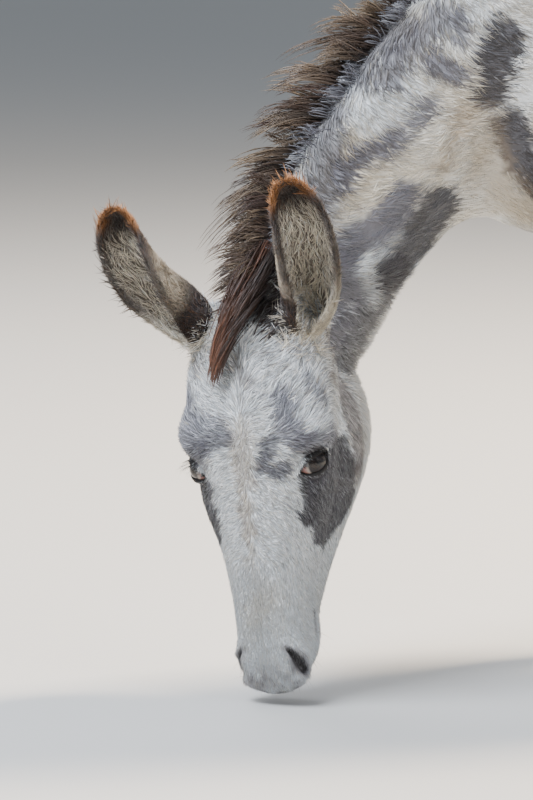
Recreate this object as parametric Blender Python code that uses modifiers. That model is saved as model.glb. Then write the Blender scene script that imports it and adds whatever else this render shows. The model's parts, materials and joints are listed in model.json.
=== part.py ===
"""A life-size grazing donkey, modelled whole and then parted with thin cuts.

Metres, +Z up. The trunk runs along Y with the breast towards -Y, and the animal's left is +X.
The flesh is a set of lofts and ellipsoids fused into one surface, smoothed, thinned and cut into
its named parts. Ears, eyes, mane and forelock are made alone and cut back to the flesh.
"""

import math

import bmesh
import bpy
import numpy as np
from mathutils import Matrix, Vector

# ---------------------------------------------------------------- driving dimensions
GAP = 0.0004                # play between two parts that meet
PLAY = 0.0016               # play between the flesh and what is set on it
VOXEL = 0.006               # grain of the fused surface
SMOOTHING = 7               # passes that blend one form into the next
BODY_SMOOTHING = 90         # further passes on the trunk, where the muscles lie under thick hide
EVEN_TRIANGLES = 11000      # of the fused surface after an even thinning
FLESH_TRIANGLES = 5000      # of the fused surface once all but the head is thinned again

POLL = Vector((0.067, -0.4835, 0.483))   # top of the head, between the ears
HEAD_TURN = math.radians(47)    # the face looks this far to the animal's left
HEAD_TILT = math.radians(8)     # the muzzle is this far in front of plumb
HEAD_ROLL = math.radians(6.6)   # the muzzle swings this far to the animal's left

EYE_RADIUS = 0.0195
EYE_S, EYE_F, EYE_L = 0.185, -0.027, 0.072  # along the face, out of it, to the side

EAR_WALL = 0.007
MANE_HALF_THICKNESS = 0.015
HOOF_TOP = 0.058            # height of the coronet's middle
HOOF_SLOPE = math.radians(14)   # the coronet is higher at the toe
TAIL_SPLIT_HEIGHT = 0.56    # the tail's long hair starts here


# ---------------------------------------------------------------- the head's own axes
def head_matrix():
    """Turns (s, f, l) into the model's frame: s down the face, f out of it, l to the left."""
    turn = Matrix.Rotation(HEAD_TURN, 3, "Z")
    facing = turn @ Vector((0, -1, 0))
    left = turn @ Vector((1, 0, 0))
    up = Vector((0, 0, 1))
    down_face = facing * math.sin(HEAD_TILT) - up * math.cos(HEAD_TILT)
    out = facing * math.cos(HEAD_TILT) + up * math.sin(HEAD_TILT)
    roll = Matrix.Rotation(HEAD_ROLL, 3, out)
    axes = Matrix((roll @ down_face, out, roll @ left)).transposed().to_4x4()
    return Matrix.Translation(POLL) @ axes


HEAD = head_matrix()
HEAD_INVERSE = HEAD.inverted()


def at_head(s, f, l):
    return HEAD @ Vector((s, f, l))


# ---------------------------------------------------------------- shape helpers
def refine(rows, count):
    """A smooth curve through the rows, read at count even steps along the first three columns."""
    rows = np.array(rows, float)
    steps = np.linalg.norm(np.diff(rows[:, :3], axis=0), axis=1)
    knots = np.concatenate([[0.0], np.cumsum(steps)])
    slopes = np.gradient(rows, knots, axis=0)
    t = np.linspace(0.0, knots[-1], count)
    i = np.clip(np.searchsorted(knots, t, side="right") - 1, 0, len(knots) - 2)
    h = (knots[i + 1] - knots[i])[:, None]
    u = (t - knots[i])[:, None] / h
    return (
        rows[i] * (2 * u**3 - 3 * u**2 + 1)
        + slopes[i] * h * (u**3 - 2 * u**2 + u)
        + rows[i + 1] * (-2 * u**3 + 3 * u**2)
        + slopes[i + 1] * h * (u**3 - u**2)
    )


def power(value, squareness):
    return math.copysign(abs(value) ** (2 / squareness), value)


def section(centre, side, up, half_width, top, bottom, square_top=2.0, square_low=2.0, count=32):
    """A closed ring: half_width to both sides, top above the centre and bottom below it."""
    points = []
    for k in range(count):
        angle = 2 * math.pi * k / count
        c, s = math.cos(angle), math.sin(angle)
        squareness = square_top if s > 0 else square_low
        height = (top if s > 0 else bottom) * power(s, squareness)
        points.append(centre + side * (half_width * power(c, squareness)) + up * height)
    return points


def add_loft(bm, sections):
    """Skins a row of rings that have the same count, and closes both ends with a fan."""
    rings = [[bm.verts.new(p) for p in points] for points in sections]
    count = len(rings[0])
    for near, far in zip(rings, rings[1:]):
        for k in range(count):
            n = (k + 1) % count
            bm.faces.new((near[k], near[n], far[n], far[k]))
    for ring, flip in ((rings[0], True), (rings[-1], False)):
        middle = bm.verts.new(sum((v.co for v in ring), Vector()) / count)
        for k in range(count):
            n = (k + 1) % count
            corners = (ring[k], ring[n], middle)
            bm.faces.new(corners[::-1] if flip else corners)


def add_ball(bm, centre, radii, turn=None):
    """An ellipsoid with its radii along X, Y and Z, turned by a 3 x 3 matrix."""
    turn = (turn or Matrix.Identity(3)).to_4x4()
    place = Matrix.Translation(centre) @ turn @ Matrix.Diagonal((*radii, 1))
    bmesh.ops.create_uvsphere(bm, u_segments=28, v_segments=16, radius=1, matrix=place)


def add_head_ball(bm, s, f, l, radii, tilt=0.0):
    """An ellipsoid in the head's axes, tilted in the head's side view."""
    turn = HEAD.to_3x3() @ Matrix.Rotation(tilt, 3, "Z")
    add_ball(bm, at_head(s, f, l), radii, turn)


def object_of(bm, name):
    bmesh.ops.recalc_face_normals(bm, faces=bm.faces[:])
    mesh = bpy.data.meshes.new(name)
    bm.to_mesh(mesh)
    bm.free()
    made = bpy.data.objects.new(name, mesh)
    bpy.context.scene.collection.objects.link(made)
    return made


def apply_modifiers(obj):
    graph = bpy.context.evaluated_depsgraph_get()
    mesh = bpy.data.meshes.new_from_object(obj.evaluated_get(graph))
    obj.modifiers.clear()
    obj.data = mesh
    return obj


def cut(obj, cutter):
    """Takes the cutter's volume out of obj."""
    boolean = obj.modifiers.new("cut", "BOOLEAN")
    boolean.operation = "DIFFERENCE"
    boolean.solver = "MANIFOLD"
    boolean.object = cutter
    return apply_modifiers(obj)


def islands(bm):
    """The connected groups of vertices, largest first."""
    unseen, groups = set(bm.verts), []
    while unseen:
        front, group = [unseen.pop()], []
        while front:
            vert = front.pop()
            group.append(vert)
            for edge in vert.link_edges:
                other = edge.other_vert(vert)
                if other in unseen:
                    unseen.remove(other)
                    front.append(other)
        groups.append(group)
    return sorted(groups, key=len, reverse=True)


def keep_largest(obj):
    bm = bmesh.new()
    bm.from_mesh(obj.data)
    for group in islands(bm)[1:]:
        bmesh.ops.delete(bm, geom=group, context="VERTS")
    bm.to_mesh(obj.data)
    bm.free()
    return obj


def material(name, colour, roughness):
    made = bpy.data.materials.new(name)
    made.use_nodes = True
    shader = made.node_tree.nodes["Principled BSDF"]
    shader.inputs["Base Color"].default_value = (*colour, 1)
    shader.inputs["Roughness"].default_value = roughness
    made.diffuse_color = (*colour, 1)
    return made


# ---------------------------------------------------------------- trunk
# y, top, height of the widest point, bottom, half width, squareness above, squareness below
TRUNK = (
    (-0.192, 0.735, 0.680, 0.640, 0.045, 2.0, 2.0),
    (-0.165, 0.810, 0.695, 0.598, 0.092, 2.0, 2.1),
    (-0.110, 0.900, 0.710, 0.568, 0.136, 1.9, 2.2),
    (-0.040, 0.968, 0.715, 0.546, 0.162, 1.8, 2.2),
    (0.030, 0.990, 0.718, 0.534, 0.178, 1.75, 2.2),
    (0.120, 0.980, 0.718, 0.522, 0.194, 1.8, 2.1),
    (0.280, 0.950, 0.700, 0.508, 0.222, 2.0, 2.1),
    (0.430, 0.945, 0.700, 0.512, 0.234, 2.1, 2.1),
    (0.560, 0.963, 0.725, 0.545, 0.226, 2.1, 2.1),
    (0.670, 0.975, 0.770, 0.600, 0.204, 2.1, 2.0),
    (0.765, 0.962, 0.795, 0.650, 0.175, 2.0, 2.0),
    (0.835, 0.930, 0.808, 0.700, 0.130, 2.0, 2.0),
    (0.875, 0.880, 0.815, 0.755, 0.070, 2.0, 2.0),
)


def add_trunk(bm):
    side, up = Vector((1, 0, 0)), Vector((0, 0, 1))
    rings = []
    for y, top, wide, low, half, above, below in refine(TRUNK, 34):
        centre = Vector((0, y, wide))
        rings.append(section(centre, side, up, half, top - wide, wide - low, above, below, 40))
    add_loft(bm, rings)
    for s in (-1, 1):
        # shoulder blade, point of the shoulder, upper arm, hip, thigh and buttock on each side
        blade = Matrix.Rotation(-0.40, 3, "X") @ Matrix.Rotation(-s * 0.22, 3, "Y")
        add_ball(bm, (s * 0.100, 0.015, 0.775), (0.058, 0.085, 0.165), blade)
        add_ball(bm, (s * 0.100, -0.075, 0.670), (0.056, 0.075, 0.080))
        add_ball(bm, (s * 0.104, 0.035, 0.630), (0.056, 0.100, 0.090))
        add_ball(bm, (s * 0.105, 0.650, 0.845), (0.090, 0.170, 0.085))
        add_ball(bm, (s * 0.118, 0.725, 0.745), (0.078, 0.125, 0.170), Matrix.Rotation(0.15, 3, "X"))
        add_ball(bm, (s * 0.085, 0.795, 0.800), (0.062, 0.070, 0.110))


# ---------------------------------------------------------------- neck
# crest x y z, throat x y z, half width: from inside the head back to inside the shoulders
NECK = (
    (0.045, -0.475, 0.440, -0.030, -0.400, 0.400, 0.062),
    (0.052, -0.468, 0.495, -0.042, -0.345, 0.395, 0.070),
    (0.044, -0.456, 0.548, -0.036, -0.304, 0.409, 0.074),
    (0.030, -0.440, 0.602, -0.026, -0.278, 0.448, 0.075),
    (0.014, -0.407, 0.675, -0.014, -0.250, 0.493, 0.077),
    (0.004, -0.358, 0.742, -0.004, -0.218, 0.531, 0.083),
    (0.000, -0.299, 0.818, 0.000, -0.185, 0.566, 0.095),
    (0.000, -0.205, 0.908, 0.000, -0.150, 0.580, 0.112),
    (0.000, -0.090, 0.968, 0.000, -0.090, 0.595, 0.128),
    (0.000, 0.020, 0.985, 0.000, 0.000, 0.620, 0.130),
)


def neck_frames(count):
    """Rows of (crest, throat, side, half width) along the neck."""
    rows = refine(NECK, count)
    middle = (rows[:, :3] + rows[:, 3:6]) / 2
    along = np.gradient(middle, axis=0)
    frames = []
    for row, step in zip(rows, along):
        crest, throat = Vector(row[:3]), Vector(row[3:6])
        side = (crest - throat).cross(Vector(step)).normalized()
        frames.append((crest, throat, side, row[6]))
    return frames


def add_neck(bm):
    rings = []
    for crest, throat, side, half in neck_frames(26):
        up = (crest - throat).normalized()
        depth = (crest - throat).length
        centre = throat + up * (depth * 0.46)
        rings.append(section(centre, side, up, half, depth * 0.54, depth * 0.46, 1.75, 2.0, 32))
    add_loft(bm, rings)


# ---------------------------------------------------------------- head
# s, front of the face, widest level, underside, half width, squareness in front and behind
SKULL = (
    (-0.030, -0.030, -0.070, -0.110, 0.045, 2.0, 2.0),
    (0.000, 0.000, -0.058, -0.140, 0.080, 2.1, 2.0),
    (0.050, 0.016, -0.048, -0.150, 0.094, 2.3, 2.0),
    (0.110, 0.021, -0.040, -0.150, 0.101, 2.4, 2.0),
    (0.150, 0.019, -0.038, -0.140, 0.099, 2.4, 2.0),
    (0.205, 0.009, -0.048, -0.135, 0.092, 2.4, 2.0),
    (0.245, 0.004, -0.053, -0.130, 0.081, 2.4, 2.0),
    (0.290, 0.000, -0.052, -0.118, 0.063, 2.4, 2.1),
    (0.345, -0.003, -0.050, -0.108, 0.050, 2.4, 2.2),
    (0.400, -0.009, -0.052, -0.098, 0.045, 2.4, 2.2),
    (0.438, -0.020, -0.054, -0.090, 0.045, 2.3, 2.2),
    (0.460, -0.034, -0.056, -0.080, 0.034, 2.1, 2.0),
)
# s, front, widest level, lower edge, half width: each half of the lower jaw, and its offset l
JAW = (
    (0.050, -0.070, -0.120, -0.180, 0.028, 0.052),
    (0.100, -0.045, -0.125, -0.206, 0.034, 0.060),
    (0.150, -0.040, -0.128, -0.214, 0.036, 0.062),
    (0.200, -0.045, -0.122, -0.206, 0.033, 0.055),
    (0.245, -0.050, -0.112, -0.186, 0.029, 0.045),
    (0.300, -0.050, -0.100, -0.158, 0.026, 0.032),
    (0.360, -0.050, -0.092, -0.134, 0.025, 0.018),
    (0.430, -0.055, -0.090, -0.116, 0.022, 0.010),
)


def add_head(bm):
    out = HEAD.to_3x3() @ Vector((0, 1, 0))
    left = HEAD.to_3x3() @ Vector((0, 0, 1))
    rings = []
    table = [(s, 0, 0, front, wide, back, half, a, b) for s, front, wide, back, half, a, b in SKULL]
    for s, _, _, front, wide, back, half, a, b in refine(table, 30):
        rings.append(section(at_head(s, wide, 0), left, out, half, front - wide, wide - back, a, b, 32))
    add_loft(bm, rings)
    table = [(s, 0, 0, front, wide, low, half, l) for s, front, wide, low, half, l in JAW]
    for sign in (-1, 1):
        rings = []
        for s, _, _, front, wide, low, half, l in refine(table, 20):
            centre = at_head(s, wide, sign * l)
            rings.append(section(centre, left, out, half, front - wide, wide - low, 2.2, 2.2, 20))
        add_loft(bm, rings)
        # brow, root of the ear, cheekbone and its crest, cheek, nostril wing, corner of the mouth
        add_head_ball(bm, 0.143, -0.028, sign * 0.066, (0.050, 0.044, 0.040), 0.3)
        add_head_ball(bm, 0.004, -0.028, sign * 0.070, (0.036, 0.034, 0.031), 0.3)
        add_head_ball(bm, 0.200, -0.062, sign * 0.062, (0.060, 0.024, 0.026), 0.0)
        add_head_ball(bm, 0.258, -0.062, sign * 0.050, (0.062, 0.018, 0.022), 0.0)
        add_head_ball(bm, 0.140, -0.130, sign * 0.070, (0.080, 0.064, 0.031), 0.3)
        add_head_ball(bm, 0.430, -0.044, sign * 0.030, (0.036, 0.026, 0.022), -0.25)
        add_head_ball(bm, 0.400, -0.085, sign * 0.026, (0.045, 0.026, 0.022), 0.15)
    # upper lip, chin, floor between the jaw halves and throat
    add_head_ball(bm, 0.441, -0.055, 0, (0.032, 0.032, 0.046), 0.2)
    add_head_ball(bm, 0.426, -0.094, 0, (0.030, 0.024, 0.035), 0.2)
    add_head_ball(bm, 0.200, -0.120, 0, (0.150, 0.050, 0.050), 0.25)
    add_head_ball(bm, 0.050, -0.110, 0, (0.070, 0.080, 0.074), 0)


# ---------------------------------------------------------------- legs
# height, y, half length, half width, x offset: all from the middle of the limb
FORE_LEG = (
    (0.720, 0.020, 0.085, 0.050, 0.000),
    (0.640, 0.055, 0.086, 0.050, 0.004),
    (0.560, 0.075, 0.072, 0.048, 0.004),
    (0.480, 0.075, 0.054, 0.042, 0.000),
    (0.400, 0.072, 0.042, 0.036, -0.002),
    (0.330, 0.070, 0.037, 0.035, -0.004),
    (0.292, 0.068, 0.039, 0.039, -0.004),
    (0.255, 0.070, 0.033, 0.032, -0.004),
    (0.205, 0.074, 0.030, 0.026, -0.004),
    (0.150, 0.076, 0.030, 0.026, -0.004),
    (0.115, 0.078, 0.037, 0.033, -0.004),
    (0.084, 0.066, 0.031, 0.029, -0.004),
    (0.058, 0.052, 0.039, 0.037, -0.004),
)
HIND_LEG = (
    (0.820, 0.700, 0.130, 0.070, 0.000),
    (0.720, 0.700, 0.140, 0.075, 0.000),
    (0.630, 0.700, 0.112, 0.064, 0.000),
    (0.550, 0.722, 0.078, 0.052, -0.002),
    (0.480, 0.758, 0.056, 0.042, -0.006),
    (0.425, 0.785, 0.053, 0.036, -0.010),
    (0.375, 0.796, 0.043, 0.036, -0.012),
    (0.320, 0.796, 0.033, 0.029, -0.012),
    (0.240, 0.790, 0.030, 0.026, -0.012),
    (0.160, 0.784, 0.031, 0.027, -0.012),
    (0.118, 0.782, 0.038, 0.034, -0.012),
    (0.086, 0.768, 0.031, 0.030, -0.012),
    (0.060, 0.752, 0.039, 0.037, -0.012),
)
# x of the limb, how far its foot is set forward (negative y) or back, and outwards
STANCE = {
    "fore_left": (FORE_LEG, 1, 0.098, 0.010, 0.012),
    "fore_right": (FORE_LEG, -1, 0.098, 0.120, 0.010),
    "hind_left": (HIND_LEG, 1, 0.112, 0.060, 0.004),
    "hind_right": (HIND_LEG, -1, 0.112, -0.070, 0.004),
}
HIP = {"fore": 0.66, "hind": 0.70}  # height about which a limb swings
HOCK_POINT = (0.828, 0.436)         # y and height of the heel bone's tip
HOOF_DEPTH = 0.012                  # of the hoof below the floor, before it is cut level
# height and y of the cuts between the trunk, the upper and the lower leg
LEG_CUTS = {"fore": ((0.500, 0.075), (0.300, 0.075)), "hind": ((0.560, 0.720), (0.400, 0.795))}


def leg_axis(name, height):
    """How far the stance moves the limb at this height: out to the side, and back."""
    _, sign, x, swing, spread = STANCE[name]
    share = max(0.0, 1 - height / HIP[name[:4]])
    return sign * (x + spread * share), swing * share


def add_leg(bm, name):
    rows, sign = STANCE[name][:2]
    side, front = Vector((sign, 0, 0)), Vector((0, -1, 0))
    table = [(y, x, z, length, width) for z, y, length, width, x in rows]
    rings = []
    for y, x, z, length, width in refine(table, 40):
        out, back = leg_axis(name, z)
        centre = Vector((out + sign * x, y + back, z))
        rings.append(section(centre, side, front, width, length, length, 2.2, 2.1, 20))
    add_loft(bm, rings)
    foot_out, foot_back = leg_axis(name, 0.0)
    foot = Vector((foot_out + sign * rows[-1][4], rows[-1][1] + foot_back, 0))
    add_hoof(bm, foot, side, front)
    if name.startswith("hind"):
        y, height = HOCK_POINT
        out, back = leg_axis(name, height)
        add_ball(bm, (out - sign * 0.010, y + back, height), (0.022, 0.026, 0.036))


def add_hoof(bm, foot, side, front):
    """An upright, narrow hoof: the sole's outline shrinks and leans back towards the coronet."""
    rings = []
    for step in range(7):
        share = step / 6
        height = -HOOF_DEPTH + share * (HOOF_DEPTH + HOOF_TOP + 0.010)
        length = 0.060 - 0.018 * share
        width = 0.046 - 0.008 * share
        centre = foot + front * (0.030 - 0.022 * share) + Vector((0, 0, height))
        rings.append(section(centre, side, front, width, length * 1.02, length * 0.92, 2.1, 2.9, 24))
    add_loft(bm, rings)


# ---------------------------------------------------------------- tail
# x y z and radius of the dock, then of the hanging hair
TAIL = (
    (0.0, 0.790, 0.930, 0.034),
    (0.0, 0.862, 0.915, 0.033),
    (0.0, 0.915, 0.868, 0.029),
    (0.0, 0.936, 0.790, 0.025),
    (0.0, 0.942, 0.700, 0.022),
    (0.0, 0.942, 0.610, 0.021),
    (0.0, 0.940, 0.530, 0.026),
    (0.0, 0.938, 0.450, 0.034),
    (0.0, 0.936, 0.380, 0.031),
    (0.0, 0.936, 0.325, 0.014),
)


def add_tail(bm):
    rows = refine(TAIL, 30)
    along = np.gradient(rows[:, :3], axis=0)
    side = Vector((1, 0, 0))
    rings = []
    for row, step in zip(rows, along):
        up = Vector(step).cross(side).normalized()
        rings.append(section(Vector(row[:3]), side, up, row[3], row[3] * 0.9, row[3] * 0.9, count=16))
    add_loft(bm, rings)


# ---------------------------------------------------------------- the fused flesh
def dent(mesh, centre, direction, radius, depth):
    """Pushes the surface near centre along direction, fading out at radius."""
    for vert in mesh.vertices:
        distance = (vert.co - centre).length / radius
        if distance < 1:
            vert.co += direction * (depth * (1 - distance**2) ** 2)


def shape_face(mesh):
    """The hollows the eyes sit in, and the nostrils."""
    turn = HEAD.to_3x3()
    for sign in (-1, 1):
        dent(mesh, at_head(0.190, -0.010, sign * 0.088), turn @ Vector((0, -0.6, -sign * 0.8)), 0.034, 0.011)
        dent(mesh, at_head(0.438, -0.032, sign * 0.042), turn @ Vector((-0.2, -0.6, -sign * 0.8)), 0.022, 0.012)


def near_head(co, fade=0.05):
    """1 on the head, falling to 0 along the neck."""
    local = HEAD_INVERSE @ co
    reach = max(-local.x - 0.02, -local.y - 0.20, 0.0)
    return max(0.0, 1 - reach / fade)


def on_body(co):
    """1 on the trunk and the root of the neck, falling to 0 down the legs, the tail and the head."""
    low = min(max((co.z - 0.44) / 0.12, 0.0), 1.0)
    tail = min(max((0.93 - co.y) / 0.05, 0.0), 1.0)
    return low * tail * (1 - near_head(co, 0.15))


def weigh(obj, name, weight):
    """A vertex group that holds weight(position) for every vertex."""
    group = obj.vertex_groups.new(name=name)
    for vert in obj.data.vertices:
        group.add([vert.index], weight(vert.co), "REPLACE")
    return group


def thin(obj, triangles, keep=None):
    """Collapses obj to about this many triangles, sparing the vertices of the group keep."""
    obj.data.calc_loop_triangles()
    collapse = obj.modifiers.new("thin", "DECIMATE")
    collapse.ratio = triangles / len(obj.data.loop_triangles)
    if keep:
        collapse.vertex_group = keep.name
        collapse.invert_vertex_group = True
        collapse.vertex_group_factor = 1.0
    return apply_modifiers(obj)


def fused_flesh():
    bm = bmesh.new()
    add_trunk(bm)
    add_neck(bm)
    add_head(bm)
    for name in STANCE:
        add_leg(bm, name)
    add_tail(bm)
    flesh = object_of(bm, "flesh")
    remesh = flesh.modifiers.new("fuse", "REMESH")
    remesh.mode = "VOXEL"
    remesh.voxel_size = VOXEL
    blend = flesh.modifiers.new("blend", "SMOOTH")
    blend.factor = 0.5
    blend.iterations = SMOOTHING
    apply_modifiers(flesh)
    shape_face(flesh.data)
    settle = flesh.modifiers.new("settle", "SMOOTH")
    settle.factor = 0.5
    settle.iterations = BODY_SMOOTHING
    settle.vertex_group = weigh(flesh, "body", on_body).name
    apply_modifiers(flesh)
    flesh.vertex_groups.clear()
    thin(flesh, EVEN_TRIANGLES)
    thin(flesh, FLESH_TRIANGLES, weigh(flesh, "head", near_head))
    level_soles(flesh)
    return flesh


def level_soles(flesh):
    """Cuts every hoof off flat at the floor."""
    bm = bmesh.new()
    bm.from_mesh(flesh.data)
    whole = bm.verts[:] + bm.edges[:] + bm.faces[:]
    made = bmesh.ops.bisect_plane(bm, geom=whole, plane_co=(0, 0, 0), plane_no=(0, 0, 1), clear_inner=True)
    edges = [e for e in made["geom_cut"] if isinstance(e, bmesh.types.BMEdge)]
    bmesh.ops.holes_fill(bm, edges=edges, sides=0)
    bmesh.ops.recalc_face_normals(bm, faces=bm.faces[:])
    bm.to_mesh(flesh.data)
    bm.free()


# ---------------------------------------------------------------- cuts between the parts
def slab(bm, centre, normal, half_a, half_b):
    """A thin plate across centre, which parts whatever it passes right through."""
    turn = Vector(normal).to_track_quat("Z", "Y").to_matrix().to_4x4()
    place = Matrix.Translation(centre) @ turn @ Matrix.Diagonal((2 * half_a, 2 * half_b, GAP, 1))
    bmesh.ops.create_cube(bm, size=1, matrix=place)


def parting_plates():
    bm = bmesh.new()
    for name, (rows, sign, *_) in STANCE.items():
        for height, y in LEG_CUTS[name[:4]]:
            slab(bm, (sign * 0.105, y + leg_axis(name, height)[1], height), (0, 0, 1), 0.095, 0.150)
        out, back = leg_axis(name, 0.0)
        foot = (out, rows[-1][1] + back, HOOF_TOP)
        slab(bm, foot, (0, math.sin(HOOF_SLOPE), math.cos(HOOF_SLOPE)), 0.07, 0.09)
    return object_of(bm, "parting_plates")


def single_plate(name, centre, normal, half_a, half_b):
    bm = bmesh.new()
    slab(bm, centre, normal, half_a, half_b)
    return object_of(bm, name)


def neck_plates():
    """Across the neck just behind the jaw, across its root, and across the tail's two ends."""
    rows = refine(NECK, 61)
    plates = []
    for name, share, half in (("throat_plate", 0.16, 0.17), ("shoulder_plate", 0.62, 0.24)):
        row = rows[round(share * 60)]
        crest, throat = Vector(row[:3]), Vector(row[3:6])
        side = neck_frames(61)[round(share * 60)][2]
        normal = side.cross(crest - throat)
        plates.append(single_plate(name, (crest + throat) / 2, normal, half, half))
    plates.append(single_plate("dock_plate", (0, 0.902, 0.885), (0, 1, -0.65), 0.06, 0.06))
    plates.append(single_plate("switch_plate", (0, 0.941, TAIL_SPLIT_HEIGHT), (0, 0, 1), 0.06, 0.06))
    return plates


# ---------------------------------------------------------------- ears
EAR_RINGS, EAR_ARC = 11, 7      # rings along an ear, points round each
# share of the length, radius, degrees of the wall's arc
EAR = (
    (0.00, 0.024, 340),
    (0.15, 0.031, 300),
    (0.32, 0.036, 255),
    (0.50, 0.037, 220),
    (0.66, 0.035, 195),
    (0.80, 0.032, 175),
    (0.91, 0.026, 160),
    (0.97, 0.018, 150),
    (1.00, 0.009, 150),
)
# middle line from root to tip, and the way the opening looks at both ends, in the head's axes
EAR_LINE = {
    "ear_left": (
        (0.020, -0.035, 0.062),
        (-0.016, -0.012, 0.087),
        (-0.058, 0.017, 0.100),
        (-0.110, 0.049, 0.105),
        (-0.156, 0.072, 0.096),
    ),
    "ear_right": (
        (0.020, -0.035, -0.062),
        (-0.013, 0.001, -0.090),
        (-0.041, 0.040, -0.112),
        (-0.090, 0.076, -0.127),
        (-0.138, 0.094, -0.126),
    ),
}
EAR_OPENING = {
    "ear_left": ((0.04, 0.84, 0.54), (0.04, 0.84, 0.54)),
    "ear_right": ((0.48, 0.62, -0.56), (0.31, 0.90, 0.04)),
}


def make_ear(name):
    turn = HEAD.to_3x3()
    line = refine([at_head(*p) for p in EAR_LINE[name]], EAR_RINGS)
    steps = np.gradient(line, axis=0)
    shares = np.linspace(0, 1, EAR_RINGS)
    table = np.array(EAR)
    first, last = (turn @ Vector(look) for look in EAR_OPENING[name])
    bm = bmesh.new()
    rings = []
    for point, step, share in zip(line, steps, shares):
        middle, along = Vector(point), Vector(step).normalized()
        radius, arc = (np.interp(share, table[:, 0], table[:, k]) for k in (1, 2))
        opening = first.lerp(last, share)
        face = (opening - along * opening.dot(along)).normalized()
        across = along.cross(face)
        ring = []
        for k in range(EAR_ARC):
            angle = math.radians(arc) * (k / (EAR_ARC - 1) - 0.5)
            offset = across * math.sin(angle) - face * math.cos(angle)
            ring.append(bm.verts.new(middle + offset * radius))
        rings.append(ring)
    for near, far in zip(rings, rings[1:]):
        for k in range(EAR_ARC - 1):
            bm.faces.new((near[k], far[k], far[k + 1], near[k + 1]))
    ear = object_of(bm, name)
    wall = ear.modifiers.new("wall", "SOLIDIFY")
    wall.thickness = EAR_WALL
    wall.offset = 0
    return apply_modifiers(ear)


# ---------------------------------------------------------------- mane and forelock
# share along the neck, height of the hair above the crest
MANE = ((0.17, 0.050), (0.27, 0.068), (0.45, 0.068), (0.65, 0.062), (0.82, 0.045), (0.95, 0.020))
MANE_LEAN = 0.15        # how far the hair falls to the animal's right
MANE_DROOP = 0.45       # and towards the head
MANE_ROOT = 0.018       # depth of the solid below the crest
# forelock in the head's axes: s, f, l, half width, half thickness
FORELOCK = (
    (-0.115, -0.020, 0.023, 0.014, 0.012),
    (-0.079, -0.004, 0.023, 0.026, 0.018),
    (-0.036, 0.016, 0.017, 0.036, 0.020),
    (0.001, 0.030, 0.002, 0.030, 0.018),
    (0.037, 0.038, -0.016, 0.017, 0.012),
    (0.080, 0.038, -0.031, 0.009, 0.007),
)


def make_mane():
    frames = neck_frames(61)
    table = [(share, 0, 0, height) for share, height in MANE]
    bm = bmesh.new()
    rings = []
    for share, _, _, height in refine(table, 15):
        at = min(60, round(share * 60))
        crest, throat, side, _ = frames[at]
        forward = (frames[at - 2][0] - crest).normalized()
        up = (crest - throat).normalized()
        hair = (up + side * MANE_LEAN + forward * MANE_DROOP).normalized()
        centre = crest + hair * ((height - MANE_ROOT) / 2)
        reach = (height + MANE_ROOT) / 2
        rings.append(section(centre, side, hair, MANE_HALF_THICKNESS, reach, reach, 1.7, 2.4, 10))
    add_loft(bm, rings)
    return object_of(bm, "mane")


def make_forelock():
    rows = refine(FORELOCK, 10)
    turn = HEAD.to_3x3()
    out, left = turn @ Vector((0, 1, 0)), turn @ Vector((0, 0, 1))
    bm = bmesh.new()
    rings = []
    for s, f, l, half, thick in rows:
        rings.append(section(at_head(s, f, l), left, out, half, thick, thick * 2.2, count=12))
    add_loft(bm, rings)
    return object_of(bm, "forelock")


# ---------------------------------------------------------------- eyes
def make_ball(name, centre, radius, segments=16):
    bm = bmesh.new()
    place = Matrix.Translation(centre)
    bmesh.ops.create_uvsphere(bm, u_segments=segments, v_segments=segments // 2, radius=radius, matrix=place)
    return object_of(bm, name)


# ---------------------------------------------------------------- assembly
# a point inside each part of the flesh, by which the cut pieces get their names
SEEDS = {
    "head": at_head(0.22, -0.08, 0),
    "neck": Vector((0.0, -0.31, 0.62)),
    "trunk": Vector((0.0, 0.35, 0.75)),
    "tail": Vector((0.0, 0.935, 0.74)),
    "tail_switch": Vector((0.0, 0.938, 0.43)),
}


def add_leg_seeds():
    for name, (rows, sign, *_) in STANCE.items():
        fore = name.startswith("fore")
        spans = (("upper", 0.40 if fore else 0.48), ("lower", 0.18 if fore else 0.23), ("hoof", 0.03))
        for part, height in spans:
            out, back = leg_axis(name, height)
            y = np.interp(-height, [-r[0] for r in rows], [r[1] for r in rows])
            SEEDS[f"{name}_{part}"] = Vector((out, y + back, height))


def split_into_parts(flesh):
    """Gives each cut piece its own object, named by the nearest seed."""
    bm = bmesh.new()
    bm.from_mesh(flesh.data)
    bm.verts.index_update()
    groups = [g for g in islands(bm) if len(g) > 8]
    centres = []
    for group in groups:
        low = Vector(map(min, *(v.co for v in group)))
        high = Vector(map(max, *(v.co for v in group)))
        centres.append((low + high) / 2)
    members = [{v.index for v in group} for group in groups]
    bm.free()
    parts = []
    for name, seed in SEEDS.items():
        best = min(range(len(groups)), key=lambda i: (centres[i] - seed).length)
        piece = bmesh.new()
        piece.from_mesh(flesh.data)
        others = [v for v in piece.verts if v.index not in members[best]]
        bmesh.ops.delete(piece, geom=others, context="VERTS")
        parts.append(object_of(piece, name))
    bpy.data.objects.remove(flesh)
    return parts


def make_cutter(obj):
    obj.hide_render = True
    obj.display_type = "WIRE"
    for collection in list(obj.users_collection):
        collection.objects.unlink(obj)
    CUTTERS.objects.link(obj)
    return obj


def grown(obj, by):
    """A copy of obj swollen along its normals, as a cutter."""
    copy = bpy.data.objects.new(obj.name + "_grown", obj.data.copy())
    bpy.context.scene.collection.objects.link(copy)
    swell = copy.modifiers.new("swell", "DISPLACE")
    swell.strength = by
    swell.mid_level = 0
    return make_cutter(apply_modifiers(copy))


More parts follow.
